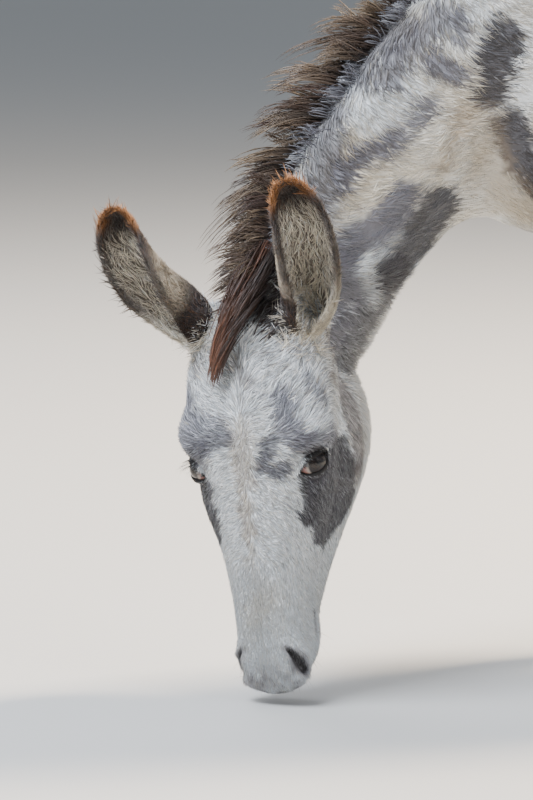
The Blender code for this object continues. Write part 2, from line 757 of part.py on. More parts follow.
for old in list(bpy.data.objects):
    bpy.data.objects.remove(old)
DONKEY = bpy.data.collections.new("donkey")
CUTTERS = bpy.data.collections.new("cutters")
for collection in (DONKEY, CUTTERS):
    bpy.context.scene.collection.children.link(collection)

COAT = material("short_coat", (0.62, 0.60, 0.57), 0.75)
LONG_HAIR = material("long_hair", (0.16, 0.11, 0.09), 0.6)
HORN = material("hoof_horn", (0.20, 0.17, 0.14), 0.45)
EYE = material("eye", (0.03, 0.02, 0.015), 0.08)

add_leg_seeds()
flesh_body = fused_flesh()
flesh_cutter = grown(flesh_body, PLAY)
set_on = [make_ear(ear_name) for ear_name in EAR_LINE] + [make_forelock(), make_mane()]
yields_to = [grown(shape, PLAY) for shape in set_on[:-1]]
alone = []
for rank, shape in enumerate(set_on):
    for other in [*yields_to[: rank if rank > 1 else 0], flesh_cutter]:
        cut(shape, other)
    alone.append(keep_largest(shape))
for eye_name, eye_sign in (("eye_left", 1), ("eye_right", -1)):
    eye_at = at_head(EYE_S, EYE_F, eye_sign * EYE_L)
    cut(flesh_body, make_cutter(make_ball(eye_name + "_socket", eye_at, EYE_RADIUS + GAP, 24)))
    alone.append(make_ball(eye_name, eye_at, EYE_RADIUS))
for plate in [parting_plates(), *neck_plates()]:
    cut(flesh_body, make_cutter(plate))
pieces = split_into_parts(flesh_body) + alone

corners = np.array([v.co for piece in pieces for v in piece.data.vertices])
low_corner, high_corner = corners.min(axis=0), corners.max(axis=0)
origin = bpy.data.objects.new("origin", None)
bpy.context.scene.collection.objects.link(origin)
middle = (low_corner + high_corner) / 2
origin.location = (-middle[0], -middle[1], -low_corner[2])
for piece in pieces:
    for collection in list(piece.users_collection):
        collection.objects.unlink(piece)
    DONKEY.objects.link(piece)
    piece.parent = origin
    piece.data.materials.clear()
    kind = COAT
    if piece.name in ("mane", "forelock", "tail_switch"):
        kind = LONG_HAIR
    elif piece.name.endswith("_hoof"):
        kind = HORN
    elif piece.name.startswith("eye"):
        kind = EYE
    piece.data.materials.append(kind)
print("origin shift", tuple(round(v, 4) for v in origin.location))
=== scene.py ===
# %% [markdown]
# # A grazing donkey, life size
# A museum figure of a spotted donkey with its head down. The solid frame gives every place and size;
# this lesson dresses it: one skin over the flesh, lids, nostrils and lips, a coat of mesh tufts that
# lie the way real hair lies, a mane, a forelock, a tail, wet eyes and horn hooves. Tables of places
# are in millimetres, all else is in metres.

# %% Load the fixed frame
import json
import math

import bmesh
import bpy
import numpy as np
from mathutils import Matrix, Vector
from mathutils.kdtree import KDTree

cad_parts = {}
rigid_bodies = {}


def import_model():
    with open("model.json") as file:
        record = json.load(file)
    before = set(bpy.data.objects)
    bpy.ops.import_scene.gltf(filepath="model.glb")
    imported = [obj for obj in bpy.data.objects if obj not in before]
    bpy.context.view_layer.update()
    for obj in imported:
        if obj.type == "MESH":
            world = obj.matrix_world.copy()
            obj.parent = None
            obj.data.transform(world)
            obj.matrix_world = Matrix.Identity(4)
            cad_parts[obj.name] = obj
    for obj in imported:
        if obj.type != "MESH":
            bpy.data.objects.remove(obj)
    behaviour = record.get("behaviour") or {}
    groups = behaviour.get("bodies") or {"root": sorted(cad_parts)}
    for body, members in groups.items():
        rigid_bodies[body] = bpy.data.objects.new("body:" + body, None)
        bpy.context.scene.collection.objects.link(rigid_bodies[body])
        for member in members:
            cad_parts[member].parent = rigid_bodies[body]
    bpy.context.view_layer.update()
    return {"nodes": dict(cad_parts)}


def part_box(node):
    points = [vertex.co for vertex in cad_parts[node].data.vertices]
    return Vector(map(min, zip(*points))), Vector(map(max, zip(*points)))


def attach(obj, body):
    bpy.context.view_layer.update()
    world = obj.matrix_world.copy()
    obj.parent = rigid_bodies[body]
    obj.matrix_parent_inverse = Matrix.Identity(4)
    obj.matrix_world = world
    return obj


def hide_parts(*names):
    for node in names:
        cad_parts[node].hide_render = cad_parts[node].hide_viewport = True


for startup_object in list(bpy.data.objects):
    bpy.data.objects.remove(startup_object)
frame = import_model()

# %% [markdown]
# ## The head's own axes
# A face is easiest to describe along itself: s runs down the face from the poll, f comes out of it,
# l goes to the animal's left. The two eyeballs are in the frame, so the axes hang on their middle.

# %% Axes of the head
HEAD_TURN, HEAD_TILT, HEAD_ROLL = (math.radians(angle) for angle in (47, 8, 6.6))
SIDES = {"left": np.array((1, 1, 1)), "right": np.array((1, 1, -1))}  # mirrors for the head's axes


def mm(*numbers):
    """A table's millimetres in metres."""
    return np.array(numbers) / 1000


def middle(node):
    low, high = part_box(node)
    return np.array((low + high) / 2)


EYE_PLACE = mm(185, -27, 72)  # of the left eye, in the head's axes
EYES = {side: middle(f"eye_{side}") for side in SIDES}
EYE_RADIUS = (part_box("eye_left")[1].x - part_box("eye_left")[0].x) / 2
turn = Matrix.Rotation(HEAD_TURN, 3, "Z")
facing, left, up = (turn @ Vector(way) for way in ((0, -1, 0), (1, 0, 0), (0, 0, 1)))
down = facing * math.sin(HEAD_TILT) - up * math.cos(HEAD_TILT)
out = facing * math.cos(HEAD_TILT) + up * math.sin(HEAD_TILT)
roll = Matrix.Rotation(HEAD_ROLL, 3, out)
AXES = np.array((roll @ down, out, roll @ left)).T
POLL = (EYES["left"] + EYES["right"]) / 2 - AXES @ (EYE_PLACE * (1, 1, 0))


def to_head(points):
    return (np.asarray(points) - POLL) @ AXES


def from_head(places):
    return np.asarray(places) @ AXES.T + POLL


print("poll", POLL.round(3), "eyes apart", np.linalg.norm(EYES["left"] - EYES["right"]))

# %% [markdown]
# ## Camera, floor and light
# The view is a long lens at the height of the animal's chest, looking at its lowered face from the
# front left. A pale floor without a horizon, one big soft window from the left, a weaker fill and a
# warm low sun from behind the cheek draw the edge of the coat.

# %% Camera, floor and light
VIEW_TARGET = POLL + mm(51.9, 15.1, -99.9)
LIGHTS_TARGET = (0, 0, 0.6)  # the middle of the neck's height
# azimuth and height in degrees, distance, size, power, colour
LIGHTS = {
    "window": (12, 50, 4.5, 2.2, 370, "eef4ff"),
    "fill": (120, 30, 5.0, 3.0, 60, "e6eeff"),
    "catch": (104, 24, 4.2, 0.45, 22, "ffffff"),
    "sun_behind": (195, 44, 4.5, 0.8, 820, "ffe9cc"),
    "back_fill": (285, 40, 5.0, 3.0, 130, "f4f6ff"),
}


def linear(hex_colour):
    """An sRGB hex colour as linear red, green and blue."""
    channels = [int(hex_colour[i:i + 2], 16) / 255 for i in (0, 2, 4)]
    return np.array([c / 12.92 if c <= 0.04045 else ((c + 0.055) / 1.055) ** 2.4 for c in channels])


def link(name, data):
    """A new object that is in the scene."""
    made = bpy.data.objects.new(name, data)
    bpy.context.scene.collection.objects.link(made)
    return made


def keep(bm, name):
    """Ends a bmesh as the mesh of a new object."""
    mesh = bpy.data.meshes.new(name)
    bm.to_mesh(mesh)
    bm.free()
    return link(name, mesh)


def aim(obj, target, turn, rise, distance):
    """Puts obj at this azimuth and height from the target, looking at it."""
    turn, rise = math.radians(turn), math.radians(rise)
    back = Vector((math.sin(turn) * math.cos(rise), -math.cos(turn) * math.cos(rise), math.sin(rise)))
    obj.location = Vector(target) + back * distance
    obj.rotation_euler = (-back).to_track_quat("-Z", "Y").to_euler()


def add_node(material, kind, settings=None, **links):
    """Adds a node, sets its inputs or properties, and links its inputs to other nodes' outputs."""
    node = material.node_tree.nodes.new(kind)
    for key, value in (settings or {}).items():
        if key in node.inputs:
            node.inputs[key].default_value = value
        else:
            setattr(node, key, value)
    for key, output in links.items():
        material.node_tree.links.new(output, node.inputs[key.replace("_", " ")])
    return node


def new_material(name, roughness, **settings):
    """A Principled material; settings are its other inputs, with _ for a space."""
    made = bpy.data.materials.new(name)
    made.use_nodes = True
    shader = made.node_tree.nodes["Principled BSDF"]
    for key, value in {"Roughness": roughness, **settings}.items():
        shader.inputs[key.replace("_", " ")].default_value = value
    return made, shader


camera = link("camera", bpy.data.cameras.new("camera"))
camera.data.lens, camera.data.sensor_width, camera.data.clip_end = 201.2, 36, 200
aim(camera, VIEW_TARGET, 72, 8, 5.5)
bpy.context.scene.camera = camera
for name, (turn, rise, distance, size, power, colour) in LIGHTS.items():
    light = link(name, bpy.data.lights.new(name, "AREA"))
    light.data.size, light.data.energy, light.data.color = size, power, linear(colour)
    aim(light, LIGHTS_TARGET, turn, rise, distance)
ground = bmesh.new()
bmesh.ops.create_grid(ground, x_segments=1, y_segments=1, size=40.0)
floor = keep(ground, "floor")
floor.data.materials.append(new_material("floor_paint", 0.9, Base_Color=(*linear("c9c8c4"), 1))[0])
world = bpy.data.worlds.new("studio")
world.use_nodes = True
world.node_tree.nodes["Background"].inputs["Color"].default_value = (*linear("dfe8f4"), 1)
world.node_tree.nodes["Background"].inputs["Strength"].default_value = 0.42
bpy.context.scene.world = world
print("camera at", [round(v, 2) for v in camera.location])

# %% [markdown]
# ## Helpers for smooth change
# Markings, hair length and hair direction all fade from one value to another. `fade` is that soft
# step, `ripple` is a soft random field made of a few sine waves, the same on every run.

# %% Soft steps and random fields


def fade(value, start, end):
    """0 before start, 1 after end, soft between them. start may be above end."""
    t = np.clip((value - start) / (end - start), 0, 1)
    return t * t * (3 - 2 * t)


def ripple(points, size, seed, octaves=3):
    """A soft random number, mostly from -1 to 1, that changes over about size metres."""
    random = np.random.default_rng(seed)
    total = np.zeros(len(points))
    for octave in range(octaves):
        waves = random.normal(size=(3, 6)) * (2.4 / size) * 2**octave
        total += np.sin(points @ waves + random.uniform(0, 6.28, 6)).sum(axis=1) * 0.36 * 0.6**octave
    return total


def swirl(points, size, seed):
    """A soft random vector at each point."""
    return np.stack([ripple(points, size, seed + axis) for axis in range(3)], axis=1)


def unit(vectors):
    return vectors / np.maximum(np.linalg.norm(vectors, axis=-1, keepdims=True), 1e-9)


def nearest_of(points, spots):
    """The distance from every point to the nearer of two spots."""
    return np.minimum(*(np.linalg.norm(points - spot, axis=1) for spot in spots))


def along_path(values, share):
    """A value at each share of a path, from the few given along it."""
    return np.interp(share, np.linspace(0, 1, np.size(values)), np.ravel(values))


def distance_to_path(points, path):
    """The distance from every point to a row of joined straight pieces, and the share along it."""
    best, where = np.full(len(points), 9.0), np.zeros(len(points))
    path = np.asarray(path, float)
    for k, (a, b) in enumerate(zip(path, path[1:])):
        span = b - a
        t = np.clip((points - a) @ span / (span @ span), 0, 1)
        away = np.linalg.norm(points - a - t[:, None] * span, axis=1)
        nearer = away < best
        best[nearer], where[nearer] = away[nearer], (k + t[nearer]) / (len(path) - 1)
    return best, where


def smooth_path(rows, count):
    """A smooth curve through rows of numbers, read at count even steps of its first three columns."""
    rows = np.array(rows, float)
    knots = np.concatenate([[0.0], np.cumsum(np.linalg.norm(np.diff(rows[:, :3], axis=0), axis=1))])
    slopes = np.gradient(rows, knots, axis=0)
    t = np.linspace(0.0, knots[-1], count)
    i = np.clip(np.searchsorted(knots, t, side="right") - 1, 0, len(knots) - 2)
    h = (knots[i + 1] - knots[i])[:, None]
    u = (t - knots[i])[:, None] / h
    return (
        rows[i] * (2 * u**3 - 3 * u**2 + 1) + slopes[i] * h * (u**3 - 2 * u**2 + u)
        + rows[i + 1] * (-2 * u**3 + 3 * u**2) + slopes[i + 1] * h * (u**3 - u**2)
    )


def read_rows(rows, share):
    """The rows of an even table, read at shares of its length."""
    steps = np.arange(len(rows))
    return np.stack([np.interp(share * steps[-1], steps, column) for column in rows.T], axis=1)


print("ripple spread", ripple(np.random.default_rng(1).normal(size=(500, 3)), 0.1, 2).std().round(2))

# %% [markdown]
# ## Where the neck runs
# The crest and the throat are two lines from the poll back to the withers. Hair direction, the mane
# and the neck's patches all read them.

# %% Crest and throat lines
# offsets from the poll: crest x y z, throat x y z
NECK = mm(
    (-15, 15.5, 12, -109, 138.5, -88), (-23, 27.5, 65, -103, 179.5, -74), (-37, 43.5, 119, -93, 205.5, -35),
    (-53, 76.5, 192, -81, 233.5, 10), (-63, 125.5, 259, -71, 265.5, 48), (-67, 184.5, 335, -67, 298.5, 83),
    (-67, 278.5, 425, -67, 333.5, 97), (-67, 393.5, 485, -67, 393.5, 112), (-67, 503.5, 502, -67, 483.5, 137),
)
neck_rows = smooth_path(NECK, 60)
CREST, THROAT = neck_rows[:, :3] + POLL, neck_rows[:, 3:] + POLL
NECK_MIDDLE = (CREST + THROAT) / 2
NECK_ALONG = unit(np.gradient(NECK_MIDDLE, axis=0))
print("crest length", np.linalg.norm(np.diff(CREST, axis=0), axis=1).sum().round(3))

# %% [markdown]
# ## One skin
# The frame parts the flesh with thin cuts. For one unbroken skin the pieces are copied, swollen by a
# millimetre so that the cuts close, and turned into one surface by a voxel remesh. Relaxing it takes
# the flat facets out. A plain smooth would also shrink the thin legs, so every second pass pushes
# back outwards.

# %% Fuse the flesh into one surface
LEGS = ("fore_left", "fore_right", "hind_left", "hind_right")
FLESH = ("head", "neck", "trunk", "tail", *(f"{leg}_{part}" for leg in LEGS for part in ("upper", "lower")))
SWELL, GRAIN = 0.001, 0.0085  # closes the cuts; the remesh's cell
BODY_PASSES, HEAD_PASSES = 26, 6  # of relaxing
PULL, PUSH = 0.60, -0.58  # what a point takes of a pass, in and back out
BEHIND_POLL, UNDER_POLL = 0.02, 0.20  # how far the head reaches back and down from the poll


def finished(obj):
    """Applies every modifier of obj."""
    mesh = bpy.data.meshes.new_from_object(obj.evaluated_get(bpy.context.evaluated_depsgraph_get()))
    obj.modifiers.clear()
    obj.data = mesh
    return obj


def fused_flesh():
    whole = bmesh.new()
    for node in (*FLESH, "eye_left", "eye_right"):
        part = bmesh.new()
        part.from_mesh(frame["nodes"][node].data)
        bmesh.ops.remove_doubles(part, verts=part.verts, dist=1e-5)
        part.normal_update()
        for vert in part.verts:
            vert.co += vert.normal * SWELL
        swollen = keep(part, "swollen")
        whole.from_mesh(swollen.data)
        bpy.data.meshes.remove(swollen.data)
    skin = keep(whole, "skin")
    remesh = skin.modifiers.new("fuse", "REMESH")
    remesh.mode, remesh.voxel_size = "VOXEL", GRAIN
    return finished(skin)


def read(collection, key, width):
    """One property of every item of a mesh's vertices, edges or loops, as a row each."""
    kind = np.int32 if key in ("vertices", "loops") else np.float32
    values = np.empty(len(collection) * width, kind)
    collection.foreach_get(key, values)
    return values.reshape(-1, width).astype(int if kind == np.int32 else float)


def points_of(mesh):
    return read(mesh.vertices, "co", 3)


def set_points(mesh, points):
    mesh.vertices.foreach_set("co", points.astype(np.float32).ravel())
    mesh.update()


def relax(mesh, passes, share):
    """Evens the surface without shrinking it; share says how much of each pass a point takes."""
    co, ends = points_of(mesh), read(mesh.edges, "vertices", 2)
    count = np.maximum(np.bincount(ends.ravel(), minlength=len(co)), 1)
    for step in range(passes):
        pull = np.empty_like(co)
        for axis in range(3):
            total = np.bincount(ends[:, 0], co[ends[:, 1], axis], len(co))
            total += np.bincount(ends[:, 1], co[ends[:, 0], axis], len(co))
            pull[:, axis] = total / count - co[:, axis]
        co += pull * (PULL if step % 2 == 0 else PUSH) * np.reshape(share, (-1, 1))
    set_points(mesh, co)


def on_head(points, edge=0.04):
    """1 on the head, fading to 0 along the neck."""
    s, f, _ = to_head(points).T
    return 1 - fade(np.maximum(-s - BEHIND_POLL, -f - UNDER_POLL), 0.0, edge)


skin = fused_flesh()
head_share = on_head(points_of(skin.data))
relax(skin.data, BODY_PASSES, 1 - head_share)
relax(skin.data, HEAD_PASSES, head_share)
print("fused", len(skin.data.vertices), "points")

# %% [markdown]
# ## A finer mesh where the face needs it
# Lids and nostrils are a few millimetres wide, so the grid is split there: once over the head, and
# twice more round the eyes and the nostrils. The frame's surface is the tips of the coat, so the skin
# is lowered between the splits: two millimetres on the muzzle, a centimetre on the neck.

# %% Split the head's faces and lower the skin by the coat's depth
NOSTRILS = mm(438, -36, 40) * np.array(list(SIDES.values()))
LEG_TOP, LEG_LOW = 0.56, 0.40  # heights between which the body's coat becomes the leg's
BODY_COAT, LEG_COAT = 0.009, 0.004  # its depth on the body and on the legs


def split_faces(mesh, inside):
    """Cuts every face whose middle is inside in four."""
    bm = bmesh.new()
    bm.from_mesh(mesh)
    bm.faces.ensure_lookup_table()
    centres = np.array([face.calc_center_median() for face in bm.faces])
    chosen = [bm.faces[k] for k in np.flatnonzero(inside(centres))]
    edges = list({edge for face in chosen for edge in face.edges})
    bmesh.ops.subdivide_edges(bm, edges=edges, cuts=1, use_grid_fill=True)
    bmesh.ops.triangulate(bm, faces=[face for face in bm.faces if len(face.verts) > 4])
    bm.to_mesh(mesh)
    bm.free()


def on_leg(points):
    return 1 - fade(points[:, 2], LEG_LOW, LEG_TOP)


def coat_depth(points):
    """How far the coat stands over the skin, in metres."""
    down_face = to_head(points)[:, 0]
    face = np.interp(down_face, (-0.02, 0.06, 0.13, 0.20, 0.30, 0.40), mm(8.0, 6.5, 4.5, 3.5, 2.8, 1.5))
    body = BODY_COAT + (LEG_COAT - BODY_COAT) * on_leg(points)
    return body + (face - body) * on_head(points, 0.08)


split_faces(skin.data, lambda points: on_head(points) > 0.3)
relax(skin.data, 4, on_head(points_of(skin.data)))
skin_points = points_of(skin.data)
depth = (coat_depth(skin_points) + SWELL)[:, None]
set_points(skin.data, skin_points - read(skin.data.vertices, "normal", 3) * depth)
for reach in (0.042, 0.030):
    split_faces(skin.data, lambda points, reach=reach: nearest_of(points, EYES.values()) < reach)
split_faces(skin.data, lambda points: nearest_of(points, from_head(NOSTRILS)) < 0.034)
relax(skin.data, 2, (nearest_of(points_of(skin.data), EYES.values()) < 0.05).astype(float))
print("skin", len(skin.data.polygons), "faces")

# %% [markdown]
# ## Lids
# A lid is skin stretched over the ball. Every point of skin that would lie inside the ball is pushed
# out to just over it, except in the almond between the lids, which sinks so that the eye shows.

# %% Shape the lids
LID, RIM, CREASE = 0.0022, 0.0010, 0.0012  # thickness of a lid, swelling of its rim, depth of its fold
LID_REACH, CREASE_OVER = 0.036, 0.0085  # how far lids reach from the ball's middle; the fold over the opening
ALMOND = 0.0225  # half the length of the opening
UPPER, LOWER = 0.0070, 0.0060  # its height over and under the line between the corners
UNDER_BALL = 0.0030  # how deep in the ball the skin behind the opening ends
SINK_MOST, SINK_FROM = 0.0050, 0.0135  # the most that it sinks, and the furthest out that it sinks from
CORNER_NEAR, CORNER_FAR = mm(202, -6, 68), mm(172, -36, 94)  # of the left eye, in the head's axes


def eye_axes(side):
    """Along the opening, out of the head, and up towards the brow."""
    mirror = SIDES[side]
    along = unit((CORNER_FAR - CORNER_NEAR) * mirror)
    out = (CORNER_FAR + CORNER_NEAR) / 2 * mirror - EYE_PLACE * mirror
    out = unit(out - along * (out @ along))
    brow = np.cross(along, out) * mirror[2]
    return AXES @ along, AXES @ out, AXES @ brow


def in_eye(points, side):
    """How far points are along, out and brow of an eye's middle, and how far away."""
    away = points - EYES[side]
    return (*(away @ axis for axis in eye_axes(side)), np.linalg.norm(away, axis=1))


def almond(along, brow):
    """Below 1 inside the opening of the lids, above 1 outside it."""
    across = np.clip(1 - (along / ALMOND) ** 2, 0.0, 1.0) ** 0.75 + 0.02
    return np.where(brow > 0, brow / (UPPER * across), -brow / (LOWER * across))


def shape_lids(points):
    points = points.copy()
    for side, eye in EYES.items():
        outwards = eye_axes(side)[1]
        along, out, brow, reach = in_eye(points, side)
        opening = almond(along, brow)
        cover = EYE_RADIUS + LID * fade(opening, 0.9, 1.25)
        draped = np.where(reach < cover, cover, reach)
        goal = eye + (points - eye) * (draped / np.maximum(reach, 1e-6))[:, None]
        rim = np.exp(-((opening - 1.25) / 0.45) ** 2) * RIM * (opening > 0.9)
        crease = np.exp(-((brow - UPPER - CREASE_OVER + 6 * along**2) / CREASE) ** 2) * CREASE
        goal += outwards * (rim - crease * (np.abs(along) < ALMOND))[:, None]
        goal_along, goal_out, goal_brow, _ = in_eye(goal, side)
        ball = np.sqrt(np.maximum(EYE_RADIUS**2 - goal_along**2 - goal_brow**2, 0.0))
        sunk_to = np.maximum(ball - UNDER_BALL, np.minimum(goal_out, SINK_FROM) - SINK_MOST)
        sunk = goal + outwards * (sunk_to - goal_out)[:, None]
        inside = (1 - fade(opening, 0.82, 1.0)) * (out > 0)
        goal = np.where(inside[:, None] > 0, goal + (sunk - goal) * inside[:, None], goal)
        close = (reach < LID_REACH) & (out > -0.004)
        points += (goal - points) * (close * fade(LID_REACH - reach, 0.0, 0.010))[:, None]
    return points


set_points(skin.data, shape_lids(points_of(skin.data)))
print("lids over balls of radius", round(EYE_RADIUS, 4))

# %% [markdown]
# ## Nostrils and mouth
# A donkey's nostril is a slanting comma with a soft rim. The mouth is one line under it. Both are
# pressed into the skin as soft grooves: a path in the head's axes, a width and a depth.

# %% Press the nostrils and the mouth
NOSTRIL_RIM = 0.0016  # how far it stands up
DEEP = 0.01  # grooves deeper than this have a rim
# left side's paths, half width along the path, depth and the way pressed
GROOVES = (
    (mm((415, -19, 34), (424, -24, 41), (434, -33, 46), (444, -47, 44)), mm(3.0, 5.0, 7.6, 5.2),
     0.0125, unit(np.array((-0.30, -0.50, -0.80)))),
    (mm((449, -71, 0), (445, -73, 18), (430, -78, 34), (395, -82, 43), (372, -84, 44)), mm(3.5, 2.2),
     0.0042, unit(np.array((-0.55, 0.00, -0.80)))),
)


def folded_head(points):
    """Places in the head's axes with both sides folded onto the left one, and their mirrors."""
    local = to_head(points)
    side = np.where(local[:, 2:] < 0, SIDES["right"], SIDES["left"])
    return local * side, side


def press(points):
    local, (folded, side) = to_head(points), folded_head(points)
    for path, halves, depth, way in GROOVES:
        away, share = distance_to_path(folded, path)
        half = along_path(halves, share)
        push = depth * np.exp(-(away / half) ** 2)
        rim = NOSTRIL_RIM * np.exp(-((away - 2.0 * half) / (0.8 * half)) ** 2) * (depth > DEEP)
        local += (push - rim)[:, None] * way * side
    return from_head(local)


set_points(skin.data, press(points_of(skin.data)))
print("nostrils and mouth", len(GROOVES), "grooves")

# %% [markdown]
# ## Ears
# An ear is a rolled leaf: almost a tube at the root, an open trough towards the tip. A row of points
# across the leaf is extruded ring by ring along the ear's middle line, Solidify gives the leaf its
# thickness, and a Boolean unites it with the skin.

# %% Roll the ears
# share of the length, radius, degrees of the wall's arc
EAR = np.array((
    (0.00, 23.5, 340), (0.15, 30.0, 300), (0.32, 34.5, 255), (0.50, 35.5, 220), (0.66, 33.5, 195),
    (0.80, 30.0, 175), (0.91, 24.0, 160), (0.97, 16.0, 150), (1.00, 6.0, 150),
))
# middle lines from root to tip, and the way the opening looks at both ends, in the head's axes
EAR_LINES = {
    "left": mm((20, -35, 62), (-16, -12, 87), (-58, 17, 100), (-110, 49, 105), (-152, 70, 97)),
    "right": mm((20, -35, -62), (-13, 1, -90), (-41, 40, -112), (-90, 76, -127), (-134, 92, -126.5)),
}
EAR_LOOKS = {
    "left": ((0.04, 0.84, 0.54), (0.04, 0.84, 0.54)),
    "right": ((0.48, 0.62, -0.56), (0.31, 0.90, 0.04)),
}
EAR_RINGS, EAR_ACROSS, EAR_WALL = 44, 25, 0.0032
CANAL_WIDE, CANAL_NARROW, CANAL_DEPTH = 0.026, 0.014, 0.026  # where the tube's inside is kept free


def ear_rings(side):
    """Rings of points across the leaf, root to tip, with the middle line and the way it looks."""
    line = smooth_path([from_head(place) for place in EAR_LINES[side]], EAR_RINGS)
    along = unit(np.gradient(line, axis=0))
    share = np.linspace(0, 1, EAR_RINGS)
    radius = np.interp(share, EAR[:, 0], EAR[:, 1] / 1000)[:, None]
    arc = np.interp(share, EAR[:, 0], EAR[:, 2])
    first, last = (AXES @ np.array(look) for look in EAR_LOOKS[side])
    looks = first + (last - first) * share[:, None]
    face = unit(looks - along * (looks * along).sum(axis=1, keepdims=True))
    across = np.cross(along, face)
    angle = np.radians(arc)[:, None] * np.linspace(-0.5, 0.5, EAR_ACROSS)
    rings = line[:, None] + across[:, None] * (np.sin(angle) * radius)[..., None]
    return rings - face[:, None] * (np.cos(angle) * radius)[..., None], line, face


def next_ring(bm, row, edges):
    """Extrudes a row of edges; gives the new points in the row's order, and the new edges."""
    made = bmesh.ops.extrude_edge_only(bm, edges=edges)["geom"]
    fresh = {part for part in made if isinstance(part, bmesh.types.BMVert)}
    edges = [part for part in made if isinstance(part, bmesh.types.BMEdge) and fresh.issuperset(part.verts)]
    return [next(edge.other_vert(vert) for edge in vert.link_edges if edge.other_vert(vert) in fresh)
            for vert in row], edges


def put_in_order(bm, rows):
    """Sorts a net's points, edges and faces by its rows, as extruding leaves them in no fixed order."""
    def place_of(part):
        first, second, *_ = sorted(vert.index for vert in part.verts)
        return first * len(rows) + second

    for number, vert in enumerate(rows):
        vert.index = number
    bm.verts.sort(key=lambda vert: vert.index)
    bm.verts.index_update()
    for parts in (bm.edges, bm.faces):
        parts.sort(key=place_of)


def roll_ear(side):
    rings, _, _ = ear_rings(side)
    bm = bmesh.new()
    row = [bm.verts.new(point) for point in rings[0]]
    edges = [bm.edges.new(pair) for pair in zip(row, row[1:])]
    rows = list(row)
    for ring in rings[1:]:
        row, edges = next_ring(bm, row, edges)
        rows += row
        for vert, point in zip(row, ring):
            vert.co = point
    put_in_order(bm, rows)  # hair is spread in the faces' order, which has to be the same on every run
    bmesh.ops.recalc_face_normals(bm, faces=bm.faces)
    ear = keep(bm, f"ear_{side}_leaf")
    wall = ear.modifiers.new("wall", "SOLIDIFY")
    wall.thickness, wall.offset = EAR_WALL, 0
    return finished(ear)


def open_canal(points, side):
    """Sinks the skin that would bulge up inside the ear's tube."""
    _, line, _ = ear_rings(side)
    away, share = distance_to_path(points, line[::4])
    inside = fade(away, CANAL_WIDE, CANAL_NARROW) * fade(share, 0.0, 0.10)
    return points + unit(line[0] - line[8]) * (CANAL_DEPTH * inside)[:, None]


for side in SIDES:
    set_points(skin.data, open_canal(points_of(skin.data), side))
    ear = roll_ear(side)
    union = skin.modifiers.new("unite", "BOOLEAN")
    union.operation, union.solver, union.object = "UNION", "MANIFOLD", ear
    finished(skin)
    bpy.data.objects.remove(ear)
print("skin with ears", len(skin.data.polygons), "faces")

# %% [markdown]
# ## The skin takes the flesh's place
# A bake of the coat's colours needs a map that puts every tuft at its root's place on the skin, so
# the skin needs an unwrap in which no two places share a spot: Smart UV Project cuts it into islands.
# From here the skin is shown instead of the flesh nodes, which stay in the physics model.

# %% Unwrap the skin and hand over from the frame
BAKE_MAP = "OFBake"
skin.data.uv_layers.new(name=BAKE_MAP)
bpy.ops.object.select_all(action="DESELECT")
skin.select_set(True)
bpy.context.view_layer.objects.active = skin
bpy.ops.object.mode_set(mode="EDIT")
bpy.ops.mesh.select_all(action="SELECT")
bpy.ops.uv.smart_project(angle_limit=math.radians(70), island_margin=0.003)
bpy.ops.object.mode_set(mode="OBJECT")
skin.data.calc_loop_triangles()
print("unwrapped", len(skin.data.loop_triangles), "triangles")
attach(skin, "root")
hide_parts(*FLESH, "ear_left", "ear_right")
skin.data.shade_smooth()

# %% [markdown]
# ## Markings
# The coat is white and cream with slate-grey patches. Each patch is a path with a radius, its edge
# broken up by the random field, so no two edges are alike. One function colours any point, and both
# the skin and every tuft ask it, so that they always agree.

# %% Colours and patches of the coat
WHITE, CREAM, SAND = linear("e6ebee"), linear("dccfb6"), linear("a99478")
SLATE, DUSK, CHARCOAL, TAUPE = linear("6f6e76"), linear("55545c"), linear("38353a"), linear("857d7a")
BROWN, BLACK, RUST = linear("4a3830"), linear("15110f"), linear("a35a28")
LEATHER, PINK, MUZZLE_GREY = linear("2b2526"), linear("9c6c64"), linear("8a8284")
EAR_CREAM, EAR_DARK, RUST_BROWN = linear("ece2d0"), linear("1f1611"), linear("96622f")

